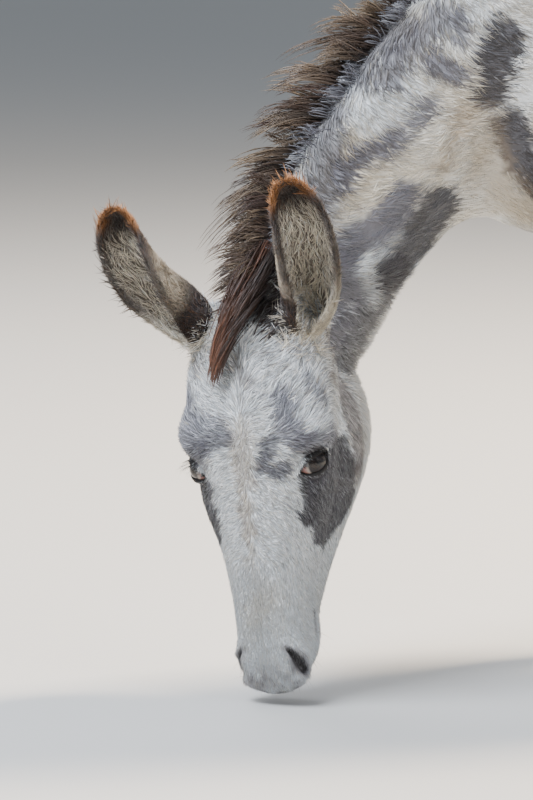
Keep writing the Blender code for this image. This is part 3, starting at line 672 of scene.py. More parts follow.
# head: colour, strength, radius, softness, on both sides, path in the head's axes
FACE_PATCHES = (
    (CHARCOAL, 0.95, (16, 34, 64, 72, 64, 42, 8), 10, True, (
        (156, -50, 97), (176, -64, 96), (206, -72, 89), (232, -76, 82), (256, -78, 76), (274, -80, 69),
        (291, -84, 62))),
    (SLATE, 0.90, 17, 12, False, ((112, 13, 52), (136, 15, 56), (157, 12, 70))),
    (SLATE, 0.90, 12, 10, False, ((159, 12, 74), (161, -12, 96), (145, -54, 98))),
    (DUSK, 0.92, 11, 9, False, ((158, 16, 33), (176, 13, 27), (190, 10, 20), (194, 8, 38), (193, 5, 49))),
    (SLATE, 0.90, 30, 18, False, ((110, 0, -92), (140, -2, -90), (160, 10, -74))),
    (SLATE, 0.80, 14, 14, False, ((128, 16, -55), (140, 18, -30))),
    (DUSK, 0.85, 12, 10, False, ((168, 11, -68), (158, 16, -40), (154, 18, -12))),
    (SLATE, 0.75, 11, 9, False, ((86, -5, 82), (110, -22, 97))),
    (TAUPE, 0.90, 12, 10, False, ((20, -75, 92), (50, -70, 93), (80, -60, 96))),
    (TAUPE, 0.85, 17, 10, True, ((92, -98, 92), (134, -108, 98), (172, -126, 96), (200, -148, 88))),
    (BROWN, 0.55, 8, 9, False, ((30, 8, 46), (44, 2, 60), (60, -8, 82))),
    (TAUPE, 0.70, 7, 9, False, ((26, 14, 20), (52, 14, 30), (70, 12, 50))),
    (TAUPE, 0.60, 7, 9, False, ((36, 16, -10), (66, 16, -4), (90, 16, 10))),
    (BROWN, 0.50, 9, 9, False, ((50, -4, -78), (72, 6, -64))),
    (CHARCOAL, 0.95, (17, 17, 16, 9), 8, False, (
        (212, -12, -68), (232, -14, -66), (252, -16, -60), (272, -18, -54))),
    (CHARCOAL, 0.95, 13, 9, False, ((210, -18, 77), (232, -21, 74), (250, -26, 71))),
    (BLACK, 0.85, 17, 12, False, ((-30, -20, 14), (-4, 0, 22), (4, 2, 36))),
)
# neck and shoulder: colour, strength, radius, softness, path as offsets from the poll
BODY_PATCHES = (
    (CREAM, 0.60, 60, 60, ((9, 177, 169), (22, 225, 200), (29, 261, 262))),
    (WHITE, 0.85, 34, 30, ((-43, 148, 272), (-8, 176, 255), (10, 212, 272))),
    (SLATE, 0.85, 24, 18, ((-16, 264, 377), (-13, 243, 353), (-17, 212, 322), (-17, 193, 298))),
    (SLATE, 0.80, 28, 18, ((-40, 215, 352), (-50, 180, 322), (-52, 165, 295))),
    (SLATE, 0.90, 14, 12, ((1, 284, 372), (13, 277, 341))),
    (SLATE, 0.95, 21, 12, ((12, 248, 311), (23, 263, 301))),
    (SLATE, 0.90, 18, 12, ((18, 231, 259), (16, 214, 231))),
    (SLATE, 0.95, 19, 12, ((9, 191, 213), (2, 166, 200), (-4, 142, 188), (-4, 130, 165))),
    (SLATE, 0.80, 27, 20, ((-50, 124, 247), (-14, 112, 188), (-10, 98, 140), (-20, 60, 90))),
    (CHARCOAL, 0.90, (34, 38, 36), 14, ((4, 256, 118), (-8, 238, 80), (-14, 214, 45))),
    (CHARCOAL, 0.85, 32, 14, ((-14, 210, 38), (-14, 190, 14), (-14, 160, -20), (-26, 140, -55))),
    (SLATE, 0.95, 27, 14, ((8, 128, 76), (7, 164, 91), (12, 196, 119), (15, 206, 138))),
    (SLATE, 0.95, 30, 14, ((6, 120, 60), (7, 133, 15), (4, 120, -30))),
    (WHITE, 0.60, 10, 12, ((2, 162, 44), (-12, 178, 10))),
    (WHITE, 0.50, 9, 12, ((0, 192, 70), (1, 202, 84))),
    (CHARCOAL, 0.95, (29, 31, 24), 12, ((34, 326, 340), (41, 319, 309), (43, 304, 268))),
    (CHARCOAL, 0.95, 27, 12, ((50, 332, 228), (57, 342, 194), (60, 356, 150))),
    # sandy streaks down the throat: painted shade of its skin folds, which are not shaped
    (SAND, 0.65, 15, 18, ((35, 274, 250), (33, 264, 216), (27, 256, 181))),
    (SAND, 0.35, 30, 30, ((40, 297, 225), (30, 315, 174), (13, 362, 114))),
)
SPOTS, SPOT_RADII = 70, (0.014, 0.048)  # of the patches on the trunk, the legs and the far side

skin_points = points_of(skin.data)
random = np.random.default_rng(17)
unseen = (skin_points[:, 1] - POLL[1] > 0.40) | ((skin_points[:, 0] < -0.05) & (on_head(skin_points) < 0.1))
SPOT_CENTRES = skin_points[random.choice(np.flatnonzero(unseen), SPOTS, replace=False)]
SPOT_SIZES = random.uniform(*SPOT_RADII, SPOTS)


def mix(colours, colour, amount):
    return colours + (colour - colours) * amount[:, None]


def every(colour, points):
    """The same colour at every point."""
    return np.repeat(colour[None], len(points), axis=0)


def patch(points, path, radius, soft, seed):
    """1 inside the patch; path, radius and soft are in millimetres, radius also along the path."""
    away, share = distance_to_path(points, mm(*path))
    radius, soft = along_path(mm(radius), share), soft / 1000
    edge = radius * (1 + 0.12 * ripple(points, 0.030, seed)) + 0.30 * soft * ripple(points, 0.006, seed + 1)
    return fade(away - edge, soft * 0.5, -soft * 0.5)


def eye_colours(points, colours):
    """Black lids and a dark tear line; the black is wider than the lids, partly painted shade under the brow.
    """
    for side, mirror in SIDES.items():
        along, out, brow, reach = in_eye(points, side)
        near = fade(reach, 0.040, 0.032) * (out > 0)
        opening = almond(along, brow)
        colours = mix(colours, CHARCOAL, near * fade(opening, 4.4, 3.2) * fade(along, -0.016, -0.006))
        # black lids, drawn wider than the lids to paint the shade under the brow as well
        colours = mix(colours, BLACK, near * fade(opening, 2.6, 2.0))
        tear_line = (CORNER_NEAR + mm(2, -1, 2)) * mirror, (CORNER_NEAR + mm(21, -3, 1)) * mirror
        tear, _ = distance_to_path(to_head(points), tear_line)
        colours = mix(colours, BLACK, 0.9 * fade(tear, 0.0095, 0.0060))
    return colours


def spot_share(points):
    """1 inside the scattered spots."""
    spots = np.zeros(len(points))
    for centre, radius in zip(SPOT_CENTRES, SPOT_SIZES):
        away = np.linalg.norm((points - centre) * (1, 1, 0.68), axis=1)
        near = away < radius * 2.2
        edge = radius * (1 + 0.28 * ripple(points[near], 0.05, 91)) + 0.002 * ripple(points[near], 0.006, 92)
        spots[near] = np.maximum(spots[near], fade(away[near] - edge, 0.004, -0.004))
    return spots


def markings(points):
    """The coat's colour at each point of the skin, with painted shade in the throat's folds, in the nostrils
    and mouth, and round the eyes.
    """
    local, (folded, _) = to_head(points), folded_head(points)
    s, _, l = local.T
    head = on_head(points, 0.06)
    cool = np.clip(0.65 + 0.30 * ripple(points, 0.10, 11) + 0.45 * head, 0, 1)
    colours = mix(every(CREAM, points), WHITE, cool)
    for k, (colour, strength, radius, soft, both, path) in enumerate(FACE_PATCHES):
        where = patch(folded if both else local, path, radius, soft, 20 + k)
        colours = mix(colours, colour, where * strength * head)
    beyond = np.maximum(fade(points[:, 1] - POLL[1], 0.37, 0.43), fade(points[:, 0], -0.01, -0.05))
    spots = spot_share(points) * (beyond * (1 - head))
    colours = mix(colours, CHARCOAL + 0.4 * (SLATE - CHARCOAL), spots * 0.9)
    for k, (colour, strength, radius, soft, path) in enumerate(BODY_PATCHES):
        where = patch(points - POLL, path, radius, soft, 60 + k)
        colours = mix(colours, colour, where * strength * (points[:, 0] > -0.06))
    half = np.interp(s, (0.12, 0.20, 0.30), mm(26, 20, 9))
    streak = fade(np.abs(l + 0.004 + 0.005 * ripple(points, 0.02, 12)), half, half * 0.2)
    streak *= fade(s, 0.12, 0.17) * fade(s, 0.34, 0.27) * head
    colours = mix(colours, SAND, 0.55 * streak)
    lips = fade(s, 0.425, 0.455) * head
    colours = mix(colours, MUZZLE_GREY, lips * np.clip(0.45 + 0.35 * ripple(points, 0.02, 13), 0, 1))
    # grey skin round the nostrils and the mouth is the skin's own colour; the leather-dark middle of each
    # groove is partly dark skin, partly painted shade of the opening
    for (path, halves, depth, way), dark in zip(GROOVES, (1.0, 0.7)):
        away, share = distance_to_path(folded, path + way * depth * 0.55)
        half = along_path(halves, share)
        colours = mix(colours, MUZZLE_GREY, 0.7 * dark * fade(away, half * 2.2 + 0.003, half) * head)
        colours = mix(colours, LEATHER, dark * fade(away, half * 1.3 + 0.001, half * 0.6) * head)
    return eye_colours(points, colours)


print("patches", len(FACE_PATCHES) + len(BODY_PATCHES))

# %% [markdown]
# ## The lie of the coat
# Hair on a donkey's face leaves a whorl on the brow: up to the poll above it, down and outwards below
# it, and straight down on the muzzle. On the neck it runs from the crest down and back, on the trunk
# back and down, on the legs down.

# %% Direction of the hair
WHORL = 0.157  # down the face, of the brow's whorl
LOW_WHORL = 0.311  # where the nose's parting ends
TAIL_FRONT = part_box("tail")[0].y


def lie_on_face(points):
    s, f, l = to_head(points).T
    side = np.tanh((l + 0.002) / 0.011)
    out = fade(np.abs(l), 0.01, 0.06)
    low = fade(s, LOW_WHORL - 0.025, LOW_WHORL + 0.02)
    down = np.tanh((s - WHORL) / 0.025) * (0.45 + 0.40 * out) + 0.9 * low
    sideways = side * (0.95 - 0.35 * out) * (1 - 0.85 * low)
    front = np.stack((down, 0 * s, sideways), axis=1)
    cheek = np.array((0.75, -0.62, 0.0))
    behind_ear = np.stack((0.15 + 0 * s, -0.90 + 0 * s, 0.1 * side), axis=1)
    behind = cheek + (behind_ear - cheek) * fade(s, 0.16, 0.06)[:, None]
    return unit(front + (behind - front) * fade(f, -0.010, -0.045)[:, None]) @ AXES.T


def neck_place(points):
    """The neck's direction and the way from throat to crest at each point, and how high up it is."""
    nearest = np.argmin(((points[:, None] - NECK_MIDDLE[None, ::4]) ** 2).sum(axis=2), axis=1) * 4
    rise = (CREST - THROAT)[nearest]
    return NECK_ALONG[nearest], rise, ((points - THROAT[nearest]) * rise).sum(axis=1) / (rise**2).sum(axis=1)


def flat_on(normals, ways):
    """Ways without their part along the normals."""
    return unit(ways - normals * (ways * normals).sum(axis=1, keepdims=True))


def lie_of_coat(points, normals):
    """Unit vectors along the skin, from root to tip of the hair."""
    neck, rise, height = neck_place(points)
    steep = fade(height, 0.35, 1.0)[:, None]
    back = points[:, 1] - POLL[1]
    way = neck * (0.95 - 1.05 * steep) - unit(rise) * (0.25 + 0.70 * steep)
    for here, goal in (
        (fade(back, 0.24, 0.40), (0.0, 0.90, -0.42)),
        (fade(points[:, 1], TAIL_FRONT, TAIL_FRONT + 0.03), (0.0, 0.15, -1.0)),
        (on_leg(points) * fade(back, 0.26, 0.32), (0.0, 0.12, -1.0)),
        (on_head(points, 0.05), lie_on_face(points)),
    ):
        way += (np.array(goal) - way) * here[:, None]
    turn = 0.26 * ripple(points, 0.030, 5) + 0.24 * ripple(points, 0.008, 6)
    turn *= 1 - 0.6 * fade(to_head(points)[:, 0], 0.22, 0.36) * on_head(points)
    way = flat_on(normals, way)
    return unit(way * np.cos(turn)[:, None] + np.cross(normals, way) * np.sin(turn)[:, None])


print("lie at the poll", lie_on_face(POLL[None]).round(2))

# %% [markdown]
# ## What part of an ear a point is on
# The hair differs on an ear's back, in its trough and along its rim. The nearest ring point of the
# leaf tells which it is.

# %% Places and colours on the ears
NEAR_LEAF = 0.0045  # skin this near to a leaf's middle is the ear's


def tree_of(points):
    tree = KDTree(len(points))
    for k, point in enumerate(points):
        tree.insert(point, k)
    tree.balance()
    return tree


def ear_places(points):
    """For each point: distance to a leaf, share of its length, closeness to its rim, 1 inside the trough,
    which ear, and how much it faces away from the other ear."""
    away = np.full(len(points), 9.0)
    share, rim, trough, which, outer = (np.zeros(len(points)) for _ in range(5))
    for number, (side, mirror) in enumerate(SIDES.items()):
        rings, line, _ = ear_rings(side)
        flat = rings.reshape(-1, 3)
        tree = tree_of(flat)
        low, high = flat.min(axis=0) - 0.02, flat.max(axis=0) + 0.02
        for k in np.flatnonzero(((points > low) & (points < high)).all(axis=1)):
            _, index, distance = tree.find(points[k])
            if distance < away[k]:
                ring, across = divmod(index, EAR_ACROSS)
                away[k], which[k], share[k] = distance, number, ring / (EAR_RINGS - 1)
                rim[k] = abs(across / (EAR_ACROSS - 1) - 0.5) * 2
                trough[k] = (points[k] - flat[index]) @ unit(line[ring] - flat[index]) > 0
                outer[k] = unit(points[k] - line[ring]) @ AXES[:, 2] * mirror[2]
    return away, share, rim, trough, which, outer


def ear_colours(places):
    """Back dark at the root and sandy above it, dark edge, rusty tip, and cream inside."""
    _, share, rim, trough, _, outer = places
    back = mix(every(BROWN * 0.35, share), CREAM, fade(outer, -0.2, 0.4) * 0.9)
    back = mix(back, (SAND + CREAM) / 2, fade(share, 0.22, 0.40) * 0.75)
    back = mix(back, BROWN, fade(share, 0.58, 0.74) * 0.9)
    inside = mix(every(EAR_CREAM, share), EAR_DARK, fade(share, 0.66, 0.84) * 0.97)
    inside = mix(inside, BROWN, fade(rim, 0.60, 0.95) * 0.5 * fade(share, 0.15, 0.4))
    colours = back + (inside - back) * trough[:, None]
    colours = mix(colours, EAR_DARK, fade(rim, 0.80, 0.95) * fade(share, 0.20, 0.45) * 0.85)
    rusty = fade(share, 0.80, 0.92) * np.maximum(fade(rim, 0.55, 0.9), 1 - trough)
    return mix(colours, RUST_BROWN, rusty * 0.95)


skin_ear = ear_places(skin_points)
ON_EAR = skin_ear[0] < NEAR_LEAF
print("on the ears", int(ON_EAR.sum()), "points")

# %% [markdown]
# ## Colour the skin
# The hide under the hair is painted with the same markings, a little darker, as it sits in shade.
# Hide is dull; hair is too, with fine streaks from one strand to the next. Both finishes take their
# colour from a painted attribute and vary it with a noise of a millimetre or so.

# %% Paint the hide
BARE_SHADE = 0.82  # the hide's share of the hair's brightness


def paint(mesh, name, colours):
    layer = mesh.color_attributes.new(name, "FLOAT_COLOR", "POINT")
    rgba = np.ones((len(mesh.vertices), 4), np.float32)
    rgba[:, :3] = np.clip(colours, 0, 1)
    layer.data.foreach_set("color", rgba.ravel())


def bump_up(material, shader, height, strength, distance):
    settings = {"Strength": strength, "Distance": distance}
    bump = add_node(material, "ShaderNodeBump", settings, Height=height.outputs["Fac"])
    material.node_tree.links.new(bump.outputs["Normal"], shader.inputs["Normal"])


def painted_material(name, roughness, attribute, noise, tones, **settings):
    """A finish in the painted colours, each made darker or lighter by a noise of this scale and detail."""
    made, shader = new_material(name, roughness, **settings)
    colour = add_node(made, "ShaderNodeAttribute", {"attribute_name": attribute})
    place = add_node(made, "ShaderNodeTexCoord").outputs["Object"]
    grain = add_node(made, "ShaderNodeTexNoise", dict(zip(("Scale", "Detail"), noise)), Vector=place)
    ends = dict(zip(("To Min", "To Max"), tones))
    tone = add_node(made, "ShaderNodeMapRange", ends, Value=grain.outputs["Fac"])
    shaded = add_node(made, "ShaderNodeVectorMath", {"operation": "SCALE"}, Vector=colour.outputs["Color"],
                      Scale=tone.outputs["Result"])
    made.node_tree.links.new(shaded.outputs["Vector"], shader.inputs["Base Color"])
    return made, shader, grain


skin_colours = markings(skin_points)
on_ear = [values[ON_EAR] for values in skin_ear]
skin_colours[ON_EAR] = mix(ear_colours(on_ear), BROWN * 0.6, 0.75 * on_ear[3])
paint(skin.data, "hide", skin_colours * BARE_SHADE)
# short-haired hide: the noise also gives the fine unevenness of skin that a low light picks out
hide, hide_shader, hide_grain = painted_material("hide", 0.72, "hide", (320.0, 3.0), (0.75, 1.15))
bump_up(hide, hide_shader, hide_grain, 0.35, 0.0012)
skin.data.materials.clear()
skin.data.materials.append(hide)
print("hide painted at", len(skin_points), "points")

# %% [markdown]
# ## Making hair from arrays
# A tuft is a thin closed blade: rings of three points, left, right and a raised middle, then a tip.
# Thousands of them are written straight into one mesh. Each tuft's map is a tiny patch at its
# root's place on the skin's unwrap.

# %% Build tufts
MOST_TRIANGLES = 190_000  # in one piece of coat
PATCH, RIDGE = 0.003, 0.5  # of the unwrap, taken by one tuft; of its half width, its middle's height
COAT_PIECES = []


def tuft_faces(rings):
    """Corner numbers of one tuft's triangles, all facing out."""
    faces = [(0, 1, 2)]
    for p, q in ((0, 2), (2, 1), (1, 0)):
        for ring in range(rings - 1):
            a, b, c, d = 3 * ring + p, 3 * ring + q, 3 * ring + 3 + q, 3 * ring + 3 + p
            faces += [(a, b, c), (a, c, d)]
        faces.append((3 * (rings - 1) + p, 3 * (rings - 1) + q, 3 * rings))
    return np.array(faces, np.int64)


def hair_mesh(name, lines, widths, ups, colours, spots, material):
    """One mesh of tufts. lines: tuft x (ring..., tip) x 3; widths, colours per ring; ups, spots per tuft."""
    count, rings = lines.shape[0], lines.shape[1] - 1
    along = unit(np.gradient(lines, axis=1))[:, :rings]
    left = unit(np.cross(ups[:, None], along))
    rise = unit(np.cross(along, left))
    half = widths[:, :, None] / 2
    corners = np.empty((count, 3 * rings + 1, 3))
    corners[:, 0:-1:3] = lines[:, :rings] + left * half
    corners[:, 1:-1:3] = lines[:, :rings] - left * half
    corners[:, 2:-1:3] = lines[:, :rings] + rise * half * RIDGE
    corners[:, -1] = lines[:, -1]
    faces = (tuft_faces(rings)[None] + np.arange(count)[:, None, None] * (3 * rings + 1)).reshape(-1, 3)
    mesh = bpy.data.meshes.new(name)
    mesh.from_pydata(corners.reshape(-1, 3), [], faces)
    shades = np.concatenate([np.repeat(colours[:, :rings], 3, axis=1), colours[:, rings:]], axis=1)
    paint(mesh, "hair", shades.reshape(-1, 3))
    step = np.concatenate([np.repeat(np.arange(rings) / rings, 3), [1.0]]) - 0.5
    side = np.concatenate([np.tile((0.5, -0.5, 0.0), rings), [0.0]])
    uv = spots[:, None] + np.stack((step, side), axis=1)[None] * PATCH
    layer = mesh.uv_layers.new(name=BAKE_MAP)
    layer.uv.foreach_set("vector", uv.reshape(-1, 2)[faces.ravel()].astype(np.float32).ravel())
    mesh.shade_smooth()
    mesh.materials.append(material)
    COAT_PIECES.append(link(name, mesh))


# hair has a soft dry shine; the long coarse hair of the mane shines a little more
STREAKS = "hair", (900.0, 2.0), (0.88, 1.12)
SHORT_HAIR, LONG_HAIR = (
    painted_material(name, roughness, *STREAKS, Sheen_Weight=sheen, Sheen_Roughness=0.4)[0]
    for name, roughness, sheen in (("short_guard_hair", 0.58, 0.10), ("coarse_mane_hair", 0.48, 0.05))
)
print("faces of a tuft", [len(tuft_faces(rings)) for rings in (1, 2, 3)])

# %% [markdown]
# ## Where the tufts are rooted
# Roots are spread by the area of the skin's triangles times a density, so that the coat is equally
# thick on big and small faces. Everything a root needs is read from its triangle's three corners.

# %% Spread the roots
TRIANGLES = read(skin.data.loop_triangles, "vertices", 3)
SKIN_MAP = read(skin.data.uv_layers[BAKE_MAP].uv, "vector", 2)[read(skin.data.loop_triangles, "loops", 3)]
NORMALS = read(skin.data.vertices, "normal", 3)
CORNERS = skin_points[TRIANGLES]
AREA = np.linalg.norm(np.cross(CORNERS[:, 1] - CORNERS[:, 0], CORNERS[:, 2] - CORNERS[:, 0]), axis=1) / 2
CENTRES = CORNERS.mean(axis=1)


def spread(density, seed):
    """Points, normals and map places of roots; density is per square metre for each triangle."""
    random = np.random.default_rng(seed)
    wanted = np.floor(np.cumsum(AREA * density) + random.uniform())
    which = np.repeat(np.arange(len(AREA)), np.diff(wanted, prepend=0).astype(int))
    a, b = random.uniform(size=(2, len(which)))
    over = a + b > 1
    a, b = np.where(over, 1 - a, a), np.where(over, 1 - b, b)
    shares = np.stack((1 - a - b, a, b), axis=1)[..., None]
    normals = unit((NORMALS[TRIANGLES[which]] * shares).sum(axis=1))
    return (CORNERS[which] * shares).sum(axis=1), normals, (SKIN_MAP[which] * shares).sum(axis=1)


EAR_FACE = ON_EAR[TRIANGLES].all(axis=1)
HEAD_FACE = on_head(CENTRES, 0.05)
folded, _ = folded_head(CENTRES)
# no hair grows this near an eye's middle and opening, or a groove, the last two as shares of their size
EYE_REACH, BARE_RIM, BARE_GROOVE = 0.034, 1.95, 1.05
BARE = np.zeros(len(CENTRES), bool)  # inside the lids' opening, on their rims, and in the grooves
for side in SIDES:
    along, out, brow, reach = in_eye(CENTRES, side)
    BARE |= (reach < EYE_REACH) & (out > 0) & (almond(along, brow) < BARE_RIM)
for groove, halves, _, _ in GROOVES:
    away, share = distance_to_path(folded, groove)
    BARE |= (away < BARE_GROOVE * along_path(halves, share)) & (HEAD_FACE > 0.5)
HAIRY = ~(BARE | EAR_FACE)
print("skin area", AREA.sum().round(3), "of which head", (AREA * (HEAD_FACE > 0.5)).sum().round(3))

# %% [markdown]
# ## The coat
# Hair is a few millimetres long on the muzzle, a centimetre on the cheeks, longer on the brow, and
# two to three centimetres on the neck and trunk. A tuft leaves the skin at a low angle and settles
# back on it; a second frequency of tone separates one tuft from the next.

# %% Grow the coat
ROOT_DEPTH, STRAY, SWAY = 0.045, 0.10, 0.07  # of a tuft, in shares of its length
PALE = 0.35  # coat lighter than this gets dark flecks, darker coat light ones


def grow(name, roots, length, width, lift, rings, spread_tone, seed, shades=None, ways=None, foot=0.60,
         flecks=WHITE * 0.16):
    """Tufts from roots: length, width and lift are one number each or one per root; foot is the painted
    shade at the roots, and flecks the colour of the odd light tuft in a dark patch."""
    places, normals, spots = roots
    random = np.random.default_rng(seed)
    count = len(places)
    ways = lie_of_coat(places, normals) if ways is None else ways
    ways = flat_on(normals, unit(ways + random.normal(size=(count, 3)) * STRAY))
    length = length * random.uniform(0.75, 1.15, count)
    lift = lift * random.uniform(0.5, 1.3, count)
    share = np.arange(rings + 1) / rings
    settle = 0.55 if rings > 1 else 0.0
    lines = places[:, None] - (normals * (ROOT_DEPTH * length)[:, None])[:, None]
    lines = lines + ways[:, None] * (length[:, None] * share)[..., None]
    lines += normals[:, None] * ((length * lift)[:, None] * (share - settle * share**2))[..., None]
    sway = random.normal(size=count) * SWAY
    lines += np.cross(normals, ways)[:, None] * (length[:, None] * sway[:, None] * share**2)[..., None]
    profile = np.interp(share[:rings], (0, 0.5, 1), (1.0, 0.72, 0.2))
    widths = np.reshape(width * random.uniform(0.7, 1.25, count), (-1, 1)) * profile
    shades = markings(places + ways * length[:, None] * 0.4) if shades is None else shades
    odd = random.uniform(size=(count, 1))
    spread_tone = np.broadcast_to(spread_tone, count)[:, None]
    pale = shades.mean(axis=1, keepdims=True) > PALE
    shades = np.where((odd < 0.45 * spread_tone) & pale, shades * 0.45 + TAUPE * 0.45, shades)
    shades = np.where((odd < 0.9 * spread_tone) & ~pale, shades * 0.70 + flecks, shades)
    shades = np.where((odd > 0.82) & pale, shades * 0.6 + CREAM * 0.4, shades)
    tone = np.exp(random.normal(size=(count, 1)) * spread_tone)[:, None]
    # colour along each tuft: painted shade at the root, where the tufts shade each other, lighter to the tip
    colours = shades[:, None] * tone * np.interp(share, (0, 0.5, 1), (foot, 0.97, 1.10))[None, :, None]
    triangles = count * (6 * rings - 2)
    pieces = -(-triangles // MOST_TRIANGLES)
    for number, part in enumerate(np.array_split(np.argsort(places @ (0.3, 1.0, 0.2)), pieces)):
        label = f"{name}_{number + 1}" if pieces > 1 else name
        hair_mesh(label, lines[part], widths[part], normals[part], colours[part], spots[part], SHORT_HAIR)
    print(name, count, "tufts", triangles, "triangles")


def face_length(points):
    down_face = to_head(points)[:, 0]
    length = np.interp(down_face, (-0.02, 0.07, 0.13, 0.20, 0.30, 0.42), mm(25, 24, 20, 14.5, 11.5, 7.5))
    return length * (1 - 0.60 * fade(nearest_of(points, EYES.values()), 0.045, 0.020))


FACE = (HEAD_FACE > 0.5) & HAIRY
IN_FRONT = (folded[:, 1] > -0.125) & (folded[:, 0] > -0.02)
front_density = np.interp(folded[:, 0], (-0.02, 0.10, 0.20, 0.30, 0.42), (1.7e5, 2.0e5, 3.0e5, 3.6e5, 4.4e5))
front_density *= 1 + 1.2 * np.exp(-((folded[:, 2] / 0.010) ** 2)) * fade(folded[:, 0], 0.05, 0.08)
lower = fade(folded[:, 0], 0.26, 0.35)
# name, where, rings, seed, painted shade at the root
for piece, here, rings, seed, foot in (
    ("face_coat", 1 - lower, 2, 101, 0.50),
    ("muzzle_coat", lower, 1, 141, 0.86),
):
    roots = spread(front_density * (FACE & IN_FRONT) * here, seed)
    down_face = to_head(roots[0])[:, 0]
    tones = np.interp(down_face, (0.05, 0.32, 0.40), (0.42, 0.28, 0.13))
    width = np.interp(down_face, (0.0, 0.13, 0.25, 0.42), mm(1.9, 1.6, 1.2, 1.0))
    grow(piece, roots, face_length(roots[0]), width, 0.24, rings, tones, seed + 1, foot=foot)
roots = spread(2.0e5 * (FACE & ~IN_FRONT), 121)
grow("jaw_coat", roots, face_length(roots[0]), 0.0019, 0.16, 1, 0.16, 122)

body = HAIRY & (HEAD_FACE <= 0.5)
front = fade(CENTRES[:, 1] - POLL[1], 0.50, 0.36) > 0.5  # the neck and the breast
low_leg = on_leg(CENTRES) >= 0.5
near_crest = neck_place(CENTRES)[2] > 0.45
# name, roots per square metre, where, length, width, lift, rings, spread of tone, seed, painted shade at the
# root
for piece, density, here, length, width, lift, rings, tones, seed, foot in (
    ("crest_coat", 8.5e4, front & ~low_leg & near_crest, 0.031, 0.0024, 0.14, 2, 0.07, 103, 0.90),
    ("throat_coat", 1.5e5, front & ~low_leg & ~near_crest, 0.019, 0.0021, 0.12, 1, 0.06, 131, 0.88),
    ("trunk_coat", 3.6e4, ~front & ~low_leg, 0.022, 0.0034, 0.10, 1, 0.07, 105, 0.88),
):
    grow(piece, spread(density * (body & here), seed), length, width, lift, rings, tones, seed + 1, foot=foot)
roots = spread(8.0e4 * (body & low_leg), 107)
over_hoof = fade(roots[0][:, 2], 0.13, 0.085)
# foot=0.75 is the painted shade at the roots
grow("leg_coat", roots, 0.014 + 0.012 * over_hoof, 0.0026, 0.16 + 0.16 * over_hoof, 1, 0.12, 108, foot=0.75)

# %% [markdown]
# ## Hair of the ears
# The back of the ear has short hair that points at the tip. Inside, long soft curls stand out of the
# trough; along the rim a fringe hides the leaf's edge and turns rusty at the tip.

# %% Grow the ears' hair
EAR_ALONG = np.array([unit(np.gradient(ear_rings(side)[1], axis=0)) for side in SIDES])
face_rim, face_trough = (skin_ear[k][TRIANGLES].mean(axis=1) for k in (2, 3))
# name, where, roots per square metre, length, width, lift, rings, seed
for piece, here, density, length, width, lift, rings, seed in (
    ("ear_back_coat", face_trough < 0.5, 3.6e5, 0.011, 0.0016, 0.26, 1, 111),
    ("ear_inner_hair", face_trough >= 0.5, 9.0e4, 0.022, 0.0013, 0.55, 3, 113),
    ("ear_fringe", face_rim > 0.86, 6.0e5, 0.010, 0.0010, 0.42, 1, 115),
):
    roots = spread(density * (EAR_FACE & here), seed)
    places = ear_places(roots[0])
    ring = np.clip((places[1] * (EAR_RINGS - 1)).astype(int), 0, EAR_RINGS - 1)
    ways = unit(EAR_ALONG[places[4].astype(int), ring] + 0.5 * swirl(roots[0], 0.012, seed))
    shades = ear_colours(places)
    # 0.75 is the painted shade at the roots
    grow(piece, roots, length, width, lift, rings, 0.24, seed + 1, shades, ways, 0.75, RUST_BROWN * 0.20)

# %% [markdown]
# ## Mane
# A donkey's mane stands up and is stiff, but this one is long enough to droop in pointed locks with
# gaps between them. Every lock gathers some twenty strands that start side by side on the crest and
# meet at the tip. Shorter grey hair stands on both sides of the mane's root.

# %% Locks of long hair
SKIN_TREE = tree_of(CENTRES)
GATHERED = 0.35  # what is left of a lock's spread at its tip
FRAYED, WAVE = 0.003, 0.0012  # how far strands stray and wave


def nearest_map(points):
    """The skin map's place nearest to each point."""
    return np.array([SKIN_MAP[SKIN_TREE.find(point)[1]].mean(axis=0) for point in points])


def grow_locks(name, starts, goals, ups, bends, strands, foot, width, first, last, seed, rings=5):
    """Locks from starts to goals, each one's middle pushed by bends and its colour going from first to
    last; foot is the root's spread."""
    random = np.random.default_rng(seed)
    lock = np.repeat(np.arange(len(starts)), strands)
    total = len(lock)
    loose = random.normal(size=(total, 3)) * foot
    begin = starts[lock] + loose
    goal = goals[lock] + loose * GATHERED + random.normal(size=(total, 3)) * FRAYED
    share = (np.arange(rings + 1) / rings)[None, :, None] * random.uniform(0.45, 1.0, total)[:, None, None]
    push = bends[lock] + random.normal(size=(total, 3)) * FRAYED
    lines = begin[:, None] * (1 - share) ** 2 + 2 * share * (1 - share) * ((begin + goal) / 2 + push)[:, None]
    lines += goal[:, None] * share**2
    wave = random.uniform(0, 6.28, total)[:, None, None]
    lines += unit(np.cross(goal - begin, ups[lock]))[:, None] * WAVE * np.sin(share * 9 + wave) * share
    profile = np.interp(np.arange(rings) / rings, (0, 0.5, 1), (0.8, 1.0, 0.4))
    widths = np.repeat((width * random.uniform(0.6, 1.3, total))[:, None], rings, axis=1) * profile
    tone = np.exp(random.normal(size=total) * 0.22)[:, None, None]
    shades = (first[lock][:, None] + (last[lock] - first[lock])[:, None] * share) * tone
    ups = unit(ups[lock] + loose * 20)
    hair_mesh(name, lines, widths, ups, shades, nearest_map(starts)[lock], LONG_HAIR)
    print(name, total, "strands", total * (6 * rings - 2), "triangles")


MANE_FROM, MANE_TO = 0.02, 0.93  # shares of the crest line
MANE_HEIGHT = np.array(((0.02, 30), (0.15, 48), (0.35, 60), (0.60, 56), (0.80, 44), (0.93, 22)))
MANE_LOCKS, MANE_STRANDS, POLL_LOCKS = 180, 20, 40  # the mane is densest behind the ears
CREST_LOCKS, CREST_STRANDS = 150, 12


